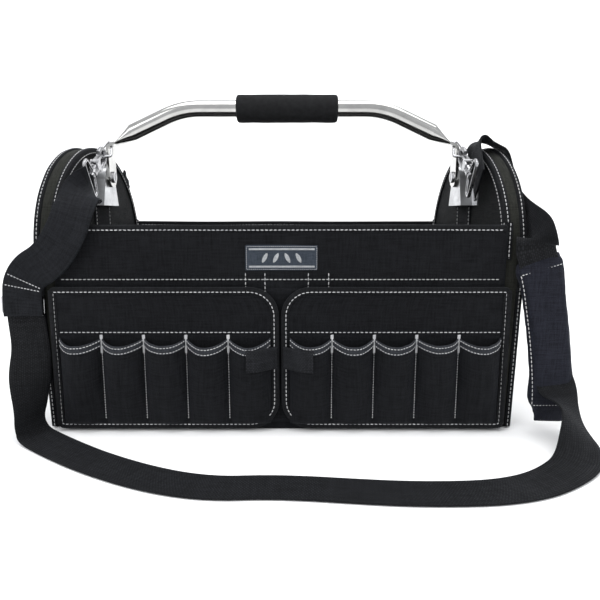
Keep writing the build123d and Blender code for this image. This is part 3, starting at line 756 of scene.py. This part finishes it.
def rim_tape(name, half, facing):
    """Binding folded over the top edge of a wall."""
    middle = facing * (wall_back + wall_front - 0.0012) / 2
    profile = ((-7, 2.4), (-6.6, 3.7), (-3.6, 3.9), (-0.9, 3.8), (0.7, 3.2), (1.4, 1.8), (1.5, 0.0),
               (1.4, -1.8), (0.7, -3.2), (-0.9, -3.6), (-3.6, -3.7), (-6.6, -3.6), (-7, -2.4))
    profile = [(a * mm, b * mm) for a, b in profile]
    path, outward, across = [], [], []
    for k in range(121):
        x = lerp(-half, half, k / 120)
        sway = Vector((0, 0.5 * ripple(x, 0, 0.09, facing), 0.6 * ripple(x, 1, 0.12, facing)))
        path.append(Vector((x, middle, wall_top)) + sway * mm)
        outward.append(Vector((0, 0, 1)))
        across.append(Vector((0, facing, 0)))
    tape = sweep_tape(name, path, outward, across, profile)
    for b in (4.0, -3.9):
        line = [p + Vector((0, facing * b * mm, -4.4 * mm)) for p in path[1:-1]]
        stitches("bag", line, (0, facing * b, 0))
    return tape


def add_walls():
    for name, half, facing in (("front", front_half, -1), ("back", rear_half, 1)):
        wall = wall_cloth(f"{name}_wall_cloth", half, facing * wall_front, facing)
        finish(thicken(wall, heavy_cloth), "bag", "body", f"{name}_panel")
    for name, half, facing in (("front", front_half - 0.001, 1), ("back", rear_half, -1)):
        inside = wall_cloth(f"{name}_wall_lining", half, -facing * wall_back, facing, 0.7)
        finish(thicken(inside, lining_cloth), "bag", "lining", f"{name}_lining")
    for y, facing, half in ((-wall_front, -1, front_half), (-wall_back, 1, front_half),
                            (wall_back, -1, rear_half), (wall_front, 1, rear_half)):
        line = [(lerp(-half, half, k / 60) * 0.975, y + facing * 0.5 * mm, seam_height)
                for k in range(61)]
        stitches("bag", line, (0, facing, 0))
    for name, half, facing in (("front", front_half, -1), ("back", rear_half, 1)):
        tape = rim_tape(f"{name}_rim_tape", half - 0.0012, facing)
        finish(tape, "bag", "binding", f"{name}_rim_binding")


def add_base():
    def point(s, t):
        y = lerp(wall_front, -wall_front, t)
        x = lerp(-1, 1, s) * lerp(rear_half, front_half, (wall_front - y) / (2 * wall_front))
        turned_up = 0.12 if min(0.25 - abs(x), wall_front - abs(y)) <= 0 else 0.0
        return (x, y, turned_up * mm + 0.12 * mm * abs(ripple(x, y, 0.05, 8)))

    base = surface("base_cloth", 60, 30, point)
    face_away(base, (0, 0, 0.1))
    finish(thicken(base, heavy_cloth), "bag", "base", "base_panel")


def face_away(piece, inside):
    """Turns the faces outwards when most of them look towards the inside point."""
    inside = Vector(inside)
    if sum((face.center - inside).normalized().dot(face.normal) * face.area
           for face in piece.data.polygons) < 0:
        piece.data.flip_normals()
    return piece


# --- padded ends ---
end_yaw = math.atan2(front_half - rear_half, 0.25)
end_x = (front_half + rear_half) / 2
ear_half, ear_straight, ear_rise = 0.121, 0.200, 0.133
ear_top = ear_straight + ear_rise


def end_frame(side):
    """Directions of an end panel: along it towards the back, and out of the bag."""
    along = Vector((-side * math.sin(end_yaw), math.cos(end_yaw), 0))
    out = Vector((side * math.cos(end_yaw), math.sin(end_yaw), 0))
    return along, out


def end_thickness(height):
    return lerp(0.018, 0.027, height / ear_top)


def end_point(side, u, height, out):
    along, normal = end_frame(side)
    return Vector((side * end_x, 0, height)) + along * u + normal * out


def ear_extent(height):
    if height <= ear_straight:
        return ear_half
    share = min((height - ear_straight) / ear_rise, 1.0)
    return ear_half * math.sqrt(1 - share * share)


def arch_line(low, straight=24, bend=72):
    """(u, height, outward u, outward height) over the arch, from the front foot to the back."""
    front = [(-ear_half, lerp(low, ear_straight, k / straight), -1.0, 0.0) for k in range(straight)]
    over = []
    for k in range(bend + 1):
        angle = math.pi * (1 - k / bend)
        c, s = math.cos(angle), math.sin(angle)
        out = Vector((c * ear_rise, s * ear_half)).normalized()
        place = Vector((ear_half * c, ear_straight + ear_rise * s))
        over.append((place.x, place.y, out.x, out.y))
    return front + over + [(-u, height, 1.0, 0.0) for u, height, _, _ in reversed(front)]


def end_face(name, side, out_of, low, puff, grain):
    """A soft arched panel; out_of(height) is its distance outside the inner face."""
    sign = 1 if puff > 0 else -1

    def point(s, t):
        height = lerp(low, ear_top - 0.0003, math.sin(t * math.pi / 2) ** 0.9)
        half = ear_extent(height)
        u = lerp(-half, half, s)
        rim = min((half - abs(u)), (ear_top - height) * 0.9, (height - low))
        lift = puff * ease(rim / 0.03) * (0.8 + 0.3 * ripple(u, height, 0.06, grain + side))
        lift += sign * 0.5 * ripple(u, height, 0.02, grain * 2 + side)
        return end_point(side, u, height, out_of(height) + lift * mm)

    return surface(name, 56, 72, point)


def end_bindings(name, side):
    along, normal = end_frame(side)

    def carried(label, low, inner):
        line = arch_line(low)
        path, outward, across = [], [], []
        for u, height, ou, oh in line:
            place = end_point(side, u, height, 0.0 if inner else end_thickness(height))
            sway = 0.35 * ripple(u + height, height, 0.03, side + inner)
            outward.append(along * ou + Vector((0, 0, oh)))
            path.append(place + outward[-1] * sway * mm)
            across.append(-normal if inner else normal)
        profile = ((-0.4, -6.6), (1.7, -7.0), (2.7, -6.3), (3.05, -4.2), (3.05, -2.0), (2.7, -0.1),
                   (1.8, 0.9), (0.2, 1.25), (-4.8, 1.2), (-5.3, 0.7), (-4.8, 0.1), (-0.6, -0.2))
        profile = [(a * mm, b * mm) for a, b in profile]
        tape = sweep_tape(label, path, outward, across, profile)
        face_away(tape, end_point(side, 0, 0.16, end_thickness(0.16) / 2))
        seam = [p + o * 3.1 * mm - c * 3.4 * mm for p, o, c in zip(path, outward, across)]
        pairs = list(zip(seam, outward))
        stitches("bag", seam, lambda a: min(pairs, key=lambda pair: (pair[0] - a).length)[1])
        lap = [p - o * 3.0 * mm + c * 1.3 * mm for p, o, c in zip(path, outward, across)]
        stitches("bag", lap, across[0])
        return tape

    outer = carried(f"{name}_outer_seam_tape", 0.0015, False)
    finish(outer, "bag", "binding", f"{name}_end_outer_binding")
    inner = carried(f"{name}_inner_seam_tape", wall_top + 0.004, True)
    finish(inner, "bag", "binding", f"{name}_end_inner_binding")


def add_end(name, side):
    along, _ = end_frame(side)
    middle = end_point(side, 0, 0.16, 0.014)
    inner = end_face(f"{name}_inner_cloth", side, lambda h: 0.0006, 0.0016, -0.5, 5)
    face_away(inner, middle)
    finish(thicken(inner, medium_cloth), "bag", "lining", f"{name}_end_inner_panel")
    outer = end_face(f"{name}_outer_cloth", side, end_thickness, 0.0016, 5.0, 7)
    face_away(outer, middle)
    finish(thicken(outer, heavy_cloth), "bag", "body", f"{name}_end_outer_panel")
    rows = []
    for k, (u, height, ou, oh) in enumerate(arch_line(0.0012)):
        row = []
        for q in range(13):
            share = q / 12
            uneven = 0.85 + 0.35 * ripple(k * 0.012, share, 0.4, side)
            lift = 2.6 * math.sin(math.pi * share) ** 0.7 * uneven
            lift += 0.35 * ripple(u + height, share * 0.03, 0.012, side + 4)
            place = end_point(side, u, height, share * end_thickness(height))
            row.append(place + (along * ou + Vector((0, 0, oh))) * (lift - 0.6) * mm)
        rows.append(row)
    gusset = face_away(lattice(f"{name}_side_cloth", rows), middle)
    finish(thicken(gusset, medium_cloth), "bag", "gusset", f"{name}_end_gusset")
    end_bindings(name, side)
    add_anchor(name, side)


anchor_width = 0.044


def add_anchor(name, side):
    """Webbing sewn up the inside of an end, under the handle's bracket."""
    along, normal = end_frame(side)
    low, high = 0.0058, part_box(f"{name}_anchor_webbing")[1][2]
    path = [end_point(side, 0, lerp(low, high, k / 50), -0.0009) for k in range(51)]
    count = len(path)
    band = sweep_tape(f"{name}_anchor_band", path, [along] * count, [-normal] * count,
                      webbing_section(anchor_width, 0.0015))
    face_away(band, end_point(side, 0, 0.13, 0.0))
    finish(band, "bag", "webbing", f"{name}_anchor_webbing")
    for u in (-0.019, 0.019):
        stitches("bag", [p + along * u - normal * 0.9 * mm for p in path], -normal)


# --- doors ---
door_low, door_high = 0.005, 0.169
door_free, door_hinge = 0.0025, 0.2585
free_radius, hinge_radius = 0.032, 0.005
door_face, door_inside = 0.1331, 0.1285
pocket_edges = [0.251 - 0.048 * k for k in range(6)]
pocket_low, pocket_high, pocket_mm = 0.010, 0.112, 98
pocket_seam = 0.1185


def door_extent(height, inset=0.0):
    """Distance of a door's free and hinge edges from the middle, at that height."""
    found = []
    for edge, radius, sign in ((door_free, free_radius, 1), (door_hinge, hinge_radius, -1)):
        edge += sign * inset
        radius = max(radius - inset, 0.0005)
        gap = min(height - door_low - inset, door_high - inset - height)
        cut = radius - math.sqrt(max(radius ** 2 - max(radius - gap, 0) ** 2, 0))
        found.append(edge + sign * cut)
    return found


def door_edge(side, inset=0.0, step=0.004):
    """Closed line round a door, inset from its edge, with outward directions."""
    corners = ((door_free, door_low, free_radius, 180), (door_hinge, door_low, hinge_radius, 270),
               (door_hinge, door_high, hinge_radius, 0), (door_free, door_high, free_radius, 90))
    line = []
    for x, z, radius, start in corners:
        cx = x + radius if x < 0.1 else x - radius
        cz = z + radius if z < 0.1 else z - radius
        turns = max(int(radius / 0.003), 4)
        for k in range(turns + 1):
            angle = math.radians(start + 90 * k / turns)
            out = Vector((math.cos(angle), 0, math.sin(angle)))
            line.append((Vector((cx, 0, cz)) + out * (radius - inset), out))
    full = []
    for (a, out_a), (b, out_b) in zip(line, line[1:] + line[:1]):
        count = max(int((b - a).length / step), 1)
        for share in (k / count for k in range(count)):
            full.append((a.lerp(b, share), out_a.lerp(out_b, share).normalized()))
    return [(Vector((side * p.x, 0, p.z)), Vector((side * o.x, 0, o.z))) for p, o in full]


def door_cloth(name, side, distance, facing, puff, seam_depth=0.0):
    def point(s, t):
        z = lerp(door_low, door_high, 0.5 - 0.5 * math.cos(math.pi * t))
        near, far = door_extent(z)
        x = lerp(near, far, s)
        rim = min(x - near, far - x, z - door_low, door_high - z)
        lift = puff * ease(rim / 0.02) * (0.6 + 0.6 * ripple(x, z * 1.3, 0.06, side * 3))
        lift += 0.22 * ripple(x, z, 0.014, side)
        lift -= seam_depth * math.exp(-(((z - pocket_seam) / 0.0015) ** 2))
        return (side * x, -distance + facing * lift * mm, z)

    piece = surface(name, 80, 60, point)
    return face_away(piece, (side * 0.12, -distance - facing * 0.05, 0.09))


def pocket_depth(side, number, a, t, depth=0.0165):
    """How far a pocket stands out, at a across it and t up it."""
    round_out = 1 - abs(2 * a - 1) ** 2.4
    upright = lerp(0.42, 1.0, ease(t / 0.62)) * ease((t + 0.03) / 0.07)
    fold = 0.0013 * noise.noise(Vector((a * 2.6 + number * 7, t * 1.7, side * 5 + 0.5)))
    crease = 0.0010 * noise.noise(Vector((a * 7 + number * 3, t * 2.4, side * 9)))
    return depth * round_out * upright + (fold + crease) * round_out * 1.6


def mouth_drop(side, number, a):
    """How far a pocket's mouth sags below the ends of the band."""
    skew = 0.09 * noise.noise(Vector((number * 3.7, side * 2.1, 1.5)))
    b = min(max(a + skew * math.sin(math.pi * a), 0), 1)
    sag = 0.0072 + 0.0016 * noise.noise(Vector((number * 1.9, side, 4.5)))
    return sag * math.sin(math.pi * b) ** 0.8


def pocket_point(side, across, height, t, proud=0.0):
    """Point of the pocket cloth: across counts pockets from the hinge side, 0 to 5."""
    number = min(int(across), 4)
    a = across - number
    x = lerp(pocket_edges[number], pocket_edges[number + 1], a)
    depth = pocket_depth(side, number, a, t)
    return Vector((side * x, -door_face - 0.0006 - max(depth, 0) - proud, height))


def pocket_height(side, across, t):
    number = min(int(across), 4)
    top = pocket_high - mouth_drop(side, number, across - number)
    return lerp(pocket_low, top, t)


def add_pockets(name, side):
    steps = 100

    def cloth_point(s, t):
        across = 5 * s
        return pocket_point(side, across, pocket_height(side, across, t), t)

    pockets = surface(f"{name}_pocket_cloth", steps, 44, cloth_point)
    face_away(pockets, (side * 0.125, -0.1, 0.06))
    finish(thicken(pockets, medium_cloth), f"{name}_door", "pocket",
                 f"{name}_door_pockets")

    def mouth_point(across, drop, proud):
        """Point that many mm below the mouth and proud of the pocket."""
        height = pocket_height(side, across, 1) - drop * mm
        return pocket_point(side, across, height, 1 - drop / pocket_mm, proud * mm)

    profile = ((9.4, -0.2), (9.2, 0.7), (6.5, 1.0), (3.0, 1.05), (0.6, 0.9), (-0.5, 0.1),
               (-0.5, -1.1), (0.6, -1.9), (6.0, -1.8), (8.6, -1.6), (8.8, -1.0))
    rows = [[mouth_point(5 * k / steps, *place) for place in profile] for k in range(steps + 1)]
    band = lattice(f"{name}_pocket_band", rows, wrap=True)
    face_away(band, (side * 0.125, -0.1, 0.09))
    finish(band, f"{name}_door", "band")

    body = f"{name}_door"
    for drop in (1.8, 7.6):
        line = [mouth_point(5 * k / (2 * steps), drop, 1.25) for k in range(2 * steps + 1)]
        stitches(body, line, (0, -1, 0), 3.6 * mm, gauge=0.42 * mm)
    across, front = Vector((0.0018, 0, 0.0002)), Vector((0, -1, 0))
    for x in pocket_edges[1:5]:
        for k in range(31):
            place = Vector((side * x, -door_face - 0.0019, lerp(0.0955, 0.1155, k / 30)))
            stitch_sets[body].append((place - across, place + across, front, 0.6 * mm))
        line = [(side * x, -door_face - 0.0011, z) for z in (0.095, 0.055, 0.016)]
        stitches(body, line, (0, -1, 0), 3.0 * mm, gauge=0.45 * mm)
    line = [(side * x, -door_face - 0.0004, pocket_seam) for x in (0.2505, 0.17, 0.09, 0.0105)]
    stitches(body, line, (0, -1, 0))


def add_door(name, side):
    body = f"{name}_door"
    outside = door_cloth(f"{name}_door_cloth", side, door_face, -1, 0.8, seam_depth=0.8)
    finish(thicken(outside, medium_cloth), body, "body", f"{name}_door_panel")
    lining = door_cloth(f"{name}_door_back_cloth", side, door_inside, 1, 0.0)
    finish(thicken(lining, lining_cloth), body, "lining", f"{name}_door_lining")

    edge = door_edge(side)
    profile = ((-7.0, 5.3), (-6.7, 5.9), (-3.5, 6.05), (0.2, 5.95), (1.1, 5.0), (1.35, 3.0),
               (1.1, 0.6), (0.3, -0.3), (-3.5, -0.45), (-6.7, -0.4), (-7.0, 0.0))
    profile = [(a * mm, b * mm) for a, b in profile]
    path = [p + Vector((0, -door_inside, 0)) for p, _ in edge]
    outward = [o * (1 + 0.12 * ripple(p.x, p.z, 0.02, side)) for p, o in edge]
    across = [Vector((0, -1, 0))] * len(path)
    tape = sweep_tape(f"{name}_door_tape", path, outward, across, profile, ring=True)
    face_away(tape, (side * 0.126, -0.1308, 0.088))
    finish(tape, body, "binding", f"{name}_door_binding")
    for y, facing in ((-door_inside - 0.0061, -1), (-door_inside + 0.0005, 1)):
        line = [p + Vector((0, y, 0)) for p, _ in door_edge(side, 0.0042)]
        stitches(body, line, (0, facing, 0), closed=True)
    add_pockets(name, side)
    add_hinge_cloth(name, side)
    add_pull_tab(name, side)


def add_hinge_cloth(name, side):
    """Strip of cloth from the wall round to the door."""
    plan = ((0.2505, -0.1254), (0.2555, -0.1256), (0.2585, -0.1259), (0.2602, -0.1268),
            (0.2607, -0.1285), (0.2606, -0.131), (0.2598, -0.1338), (0.2575, -0.1350),
            (0.2542, -0.1351))
    low, high = door_low + 0.004, door_high - 0.003

    def point(s, t):
        place = s * (len(plan) - 1)
        k = min(int(place), len(plan) - 2)
        x, y = Vector(plan[k]).lerp(Vector(plan[k + 1]), place - k)
        return (side * x, y, lerp(low, high, t))

    strip = surface(f"{name}_hinge_cloth", 32, 60, point)
    face_away(strip, (side * 0.248, -0.130, 0.09))
    slot, material = looks["binding"]
    strip.data.materials.append(material)
    thicken(strip, 0.0006, 1.0)
    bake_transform(strip)


def add_pull_tab(name, side):
    plan = ((4.0, 134.9), (10, 140.0), (17, 145.6), (24, 150.2), (31, 152.6), (37.5, 153.3))
    path = smooth_line([(side * x * mm, -y * mm, 0.0895) for x, y in plan])
    up = Vector((0, 0, 1))
    faces = [direction(path, k).cross(up) for k in range(len(path))]
    tab = sweep_tape(f"{name}_door_tab", path, [up] * len(path), faces,
                     webbing_section(0.0262, 0.0018))
    face_away(tab, path[len(path) // 2])
    finish(tab, f"{name}_door", "tab", f"{name}_pull_tab")


# --- label, patches, small tabs ---
def soft_plate(name, node, facing, body, look, puff=0.25):
    """A thin sewn-on patch with soft edges, where a flat node lies."""
    low, high = box_of(node)
    face = low.y if facing < 0 else high.y
    depth = high.y - low.y

    def point(s, t):
        x, z = lerp(low.x, high.x, s), lerp(low.z, high.z, t)
        rim = min(x - low.x, high.x - x, z - low.z, high.z - z)
        lift = puff * mm * ease(rim / 0.006) * (0.6 + 0.5 * ripple(x, z, 0.02))
        drop = depth * 0.7 * (1 - ease(rim / 0.0012))
        return (x, face + facing * (lift - drop), z)

    piece = surface(name, 48, 24, point)
    face_away(piece, ((low.x + high.x) / 2, face - facing * 0.02, (low.z + high.z) / 2))
    finish(thicken(piece, depth * 0.5), body, look, node)


def flat_strip(name, corners, y, lift=0.00035):
    """A raised embroidered shape on the label, from its outline."""
    count = len(corners)
    middle = sum((Vector(c) for c in corners), Vector((0, 0))) / count
    points = [(x, y, z) for x, z in corners]
    points += [(lerp(middle.x, x, 0.82), y - lift, lerp(middle.y, z, 0.82)) for x, z in corners]
    points.append((middle.x, y - lift, middle.y))
    faces = []
    for k in range(count):
        n = (k + 1) % count
        faces.append((k, n, count + n, count + k))
        faces.append((count + k, count + n, 2 * count))
    piece = new_piece(name, points, faces, soft=False)
    face_away(piece, (middle.x, y + 0.02, middle.y))
    finish(piece, "bag", "label_thread")


def add_label():
    soft_plate("label_cloth", "label_patch", -1, "bag", "label")
    low, high = box_of("label_patch")
    y = low.y - 0.0003
    corners = ((-1, -1), (1, -1), (1, 1), (-1, 1))
    bar_offset, bar_half, bar_thick = 0.0098, 0.037, 0.0011
    x, z = (low.x + high.x) / 2, (low.z + high.z) / 2
    for name, height in (("upper", z + bar_offset), ("lower", z - bar_offset)):
        bar = [(x + a * bar_half, height + b * bar_thick) for a, b in corners]
        flat_strip(f"label_{name}_bar", bar, y)
    leaves = ((-0.019, 62), (-0.0065, 62), (0.0065, 118), (0.019, 118))
    for number, (dx, angle) in enumerate(leaves):
        flat_strip(f"label_leaf_{number}", leaf(x + dx, z, math.radians(angle)), y)
    edge = [(x + a * 0.0395, y, z + b * 0.0128) for a, b in corners]
    stitches("bag", edge, (0, -1, 0), 2.2 * mm, closed=True, gauge=0.22 * mm)


def leaf(x, z, angle, length=0.0125, width=0.0046, count=14):
    outline = []
    for k in range(count):
        turn = 2 * math.pi * k / count
        a, b = math.cos(turn) * length / 2, math.sin(turn) * width / 2 * abs(math.sin(turn)) ** 0.4
        outline.append((x + a * math.cos(angle) - b * math.sin(angle),
                        z + a * math.sin(angle) + b * math.cos(angle)))
    return outline


def add_rear_tab():
    """Short folded tab that stands out of the left end's seam."""
    low, high = box_of("rear_tab")
    along = Vector((0, (high.y - low.y), -(high.z - low.z))).normalized()
    middle = (low + high) / 2
    path = [middle + along * lerp(-0.0155, 0.0155, k / 24) for k in range(25)]
    out = Vector((0, along.z, -along.y))
    if out.z < 0:
        out = -out
    bend = [Vector((0.0006 * math.sin(k * 0.5), 0, 0)) for k in range(25)]
    tab = sweep_tape("rear_tab_cloth", [p + b for p, b in zip(path, bend)], [out] * 25,
                     [Vector((1, 0, 0))] * 25, webbing_section(0.0078, 0.0022))
    face_away(tab, middle)
    finish(tab, "bag", "webbing", "rear_tab")


def add_inner_pockets():
    """Flat pockets on the front wall, behind the doors."""
    low, high = box_of("front_pockets")
    seams = (-0.039, -0.017, 0.032, 0.055)

    def point(s, t):
        x, z = lerp(low.x, high.x, s), lerp(low.z, high.z, t)
        gap = min(abs(x - seam) for seam in seams)
        lift = 0.7 * ease(min(gap, x - low.x, high.x - x, z - low.z) / 0.012)
        return (x, low.y + 0.0004 - lift * (0.7 + 0.4 * ripple(x, z, 0.03)) * mm, z)

    piece = surface("inner_pocket_cloth", 160, 40, point)
    face_away(piece, (0, 0, 0.09))
    finish(thicken(piece, lining_cloth), "bag", "pocket", "front_pockets")
    for seam in seams:
        line = [(seam, low.y - 0.0003, z) for z in (high.z + 0.018, 0.09, 0.012)]
        stitches("bag", line, (0, -1, 0))


# --- handle and metal ---
def add_grip():
    low, high = box_of("foam_grip")
    middle, radius, half = (low + high) / 2, (high.z - low.z) / 2, (high.x - low.x) / 2
    rows = []
    profile = [(-half, 0.0109), (-half, radius - 0.003), (-half + 0.0009, radius - 0.0011),
               (-half + 0.003, radius - 0.0001)]
    profile += [(lerp(-half + 0.006, half - 0.006, k / 30), radius) for k in range(31)]
    profile += [(-x, r) for x, r in profile[3::-1]]
    for x, r in profile:
        row = []
        for k in range(48):
            angle = 2 * math.pi * k / 48
            c, s = math.cos(angle), math.sin(angle)
            dent = 0.0004 * noise.noise(Vector((x * 45, c * 1.3, s * 1.3))) if r > 0.013 else 0.0
            row.append(Vector((middle.x + x, middle.y + (r + dent) * c, middle.z + (r + dent) * s)))
        rows.append(row)
    grip = face_away(lattice("grip_foam_cover", rows, wrap=True), middle)
    finish(grip, "bag", "grip", "foam_grip")


def repaint(material, *nodes):
    """Gives CAD nodes that keep their shape a finished material."""
    for node in nodes:
        piece = bpy.data.objects[node]
        for slot in piece.material_slots:
            slot.material = material


def add_metal():
    chrome = metal("handle_chrome", (0.50, 0.495, 0.48), 0.09, brushed=0.05)
    zinc = metal("bracket_zinc", (0.52, 0.525, 0.535), 0.22, brushed=0.10, spangle=0.25)
    rivet = metal("rivet_plate", (0.44, 0.44, 0.45), 0.24, brushed=0.06)
    wire = metal("link_wire", (0.40, 0.40, 0.41), 0.14, brushed=0.05)
    cast = metal("hook_casting", (0.36, 0.36, 0.37), 0.20, brushed=0.06)
    repaint(chrome, "handle_tube")
    repaint(rivet, "tang_rivets", "wing_rivets")
    for name, _ in sides:
        repaint(zinc, f"{name}_bracket")
        repaint(wire, f"{name}_wire_link")
        repaint(cast, f"{name}_hook_eye", f"{name}_hook_body", f"{name}_hook_gate")
    repaint(wire, "strap_slider")


def add_hidden():
    """Sealed stiffeners and foam: not seen, but finished like the rest."""
    plastic = sheet_plastic()
    for place in ("base", "front", "back", "left_door", "right_door"):
        repaint(plastic, f"{place}_board")
    repaint(looks["foam"][1], "left_end_core", "right_end_core")


def add_looks():
    """Makes every look, with a slot name kept beside its material: thread and foam have none."""
    materials = {
        "body": cloth("body_cloth", (0.0026, 0.0029, 0.0036)),
        "pocket": cloth("pocket_cloth", (0.0030, 0.0033, 0.0041)),
        "lining": cloth("lining_cloth", (0.0042, 0.0045, 0.0045), (0.8, 0.8), relief=0.15),
        # The gusset's lighter colour is painted light, standing for the lamp light its up-facing
        # cloth catches.
        "gusset": cloth("gusset_cloth", (0.0098, 0.0102, 0.0084), (0.7, 0.7), relief=0.14),
        "base": cloth("base_cloth", (0.0040, 0.0042, 0.0046), (1.4, 1.4)),
        "binding": cloth("binding_tape", (0.0046, 0.0049, 0.0056), (1.5, 0.9), "rib", relief=0.22),
        "band": cloth("pocket_band", (0.0190, 0.0205, 0.0240), (1.3, 0.8), "rib", relief=0.22),
        "webbing": cloth("tab_webbing", (0.0052, 0.0056, 0.0066), (1.9, 1.5), "rib", relief=0.35),
        "tab": cloth("pull_tab_webbing", (0.0090, 0.0095, 0.0110), (1.9, 1.5), "rib", relief=0.35),
        "strap": cloth("strap_webbing", (0.0036, 0.0039, 0.0047), (2.3, 1.6), "rib", relief=0.45,
                       gloss=0.05),
        "twill": cloth("strap_twill", (0.0052, 0.0057, 0.0070), (1.2, 1.2), "twill", relief=0.16),
        "pad": cloth("pad_cloth", (0.0062, 0.0068, 0.0105), (1.0, 1.0), boxed=True, relief=0.2,
                     sheen=0.05),
        "label": cloth("label_cloth", (0.0300, 0.0370, 0.0480), (0.5, 0.5), relief=0.08, lift=1.6),
        "label_thread": cloth("label_thread", (0.34, 0.35, 0.36), (0.45, 0.9), "rib", boxed=True,
                              relief=0.1, lift=1.5, fade=0.1),
        "pile": pile("hook_and_loop", (0.009, 0.009, 0.0105)),
        "foam": cloth("padding_foam", (0.25, 0.25, 0.25), boxed=True, lift=1.3),
        "thread": thread_material(),
        "grip": foam(),
    }
    slots = {"binding": "binding_tape", "band": "binding_tape", "webbing": "webbing",
             "tab": "webbing", "strap": "strap_webbing", "twill": "strap_twill", "label": "label",
             "label_thread": "label", "pile": "hook_and_loop", "foam": None, "thread": None,
             "grip": "grip_foam"}
    for look, material in materials.items():
        looks[look] = slots.get(look, f"{look}_fabric"), material


def add_stitches():
    for body, threads in stitch_sets.items():
        piece = thread_mesh(f"stitches_{body}", threads)
        finish(piece, body, "thread")


def build():
    add_world()
    add_camera()
    area_light("top_light", (0.1, -0.2, 2.2), (0, 0, 0.1), (2.4, 1.6), 42)
    area_light("left_light", (-1.7, -1.6, 1.4), (0, 0, 0.15), (1.2, 1.2), 22)
    area_light("right_light", (1.9, -1.5, 1.2), (0, 0, 0.15), (1.2, 1.2), 18)
    area_light("back_light", (0.0, 1.2, 1.7), (0, 2.6, 0.9), (2.4, 0.8), 30)
    add_stage()
    add_looks()
    add_strap()
    add_walls()
    add_base()
    for name, side in sides:
        add_end(name, side)
        add_door(name, side)
        soft_plate(f"{name}_hook_tape", f"{name}_hook_patch", 1, f"{name}_door", "pile")
    add_inner_pockets()
    add_label()
    add_rear_tab()
    add_grip()
    add_metal()
    add_hidden()
    pad = bpy.data.objects["strap_pad"]
    finish(pad, "bag", "pad", "shoulder_pad")
    repaint(looks["pile"][1], "loop_patches")
    add_stitches()


build()
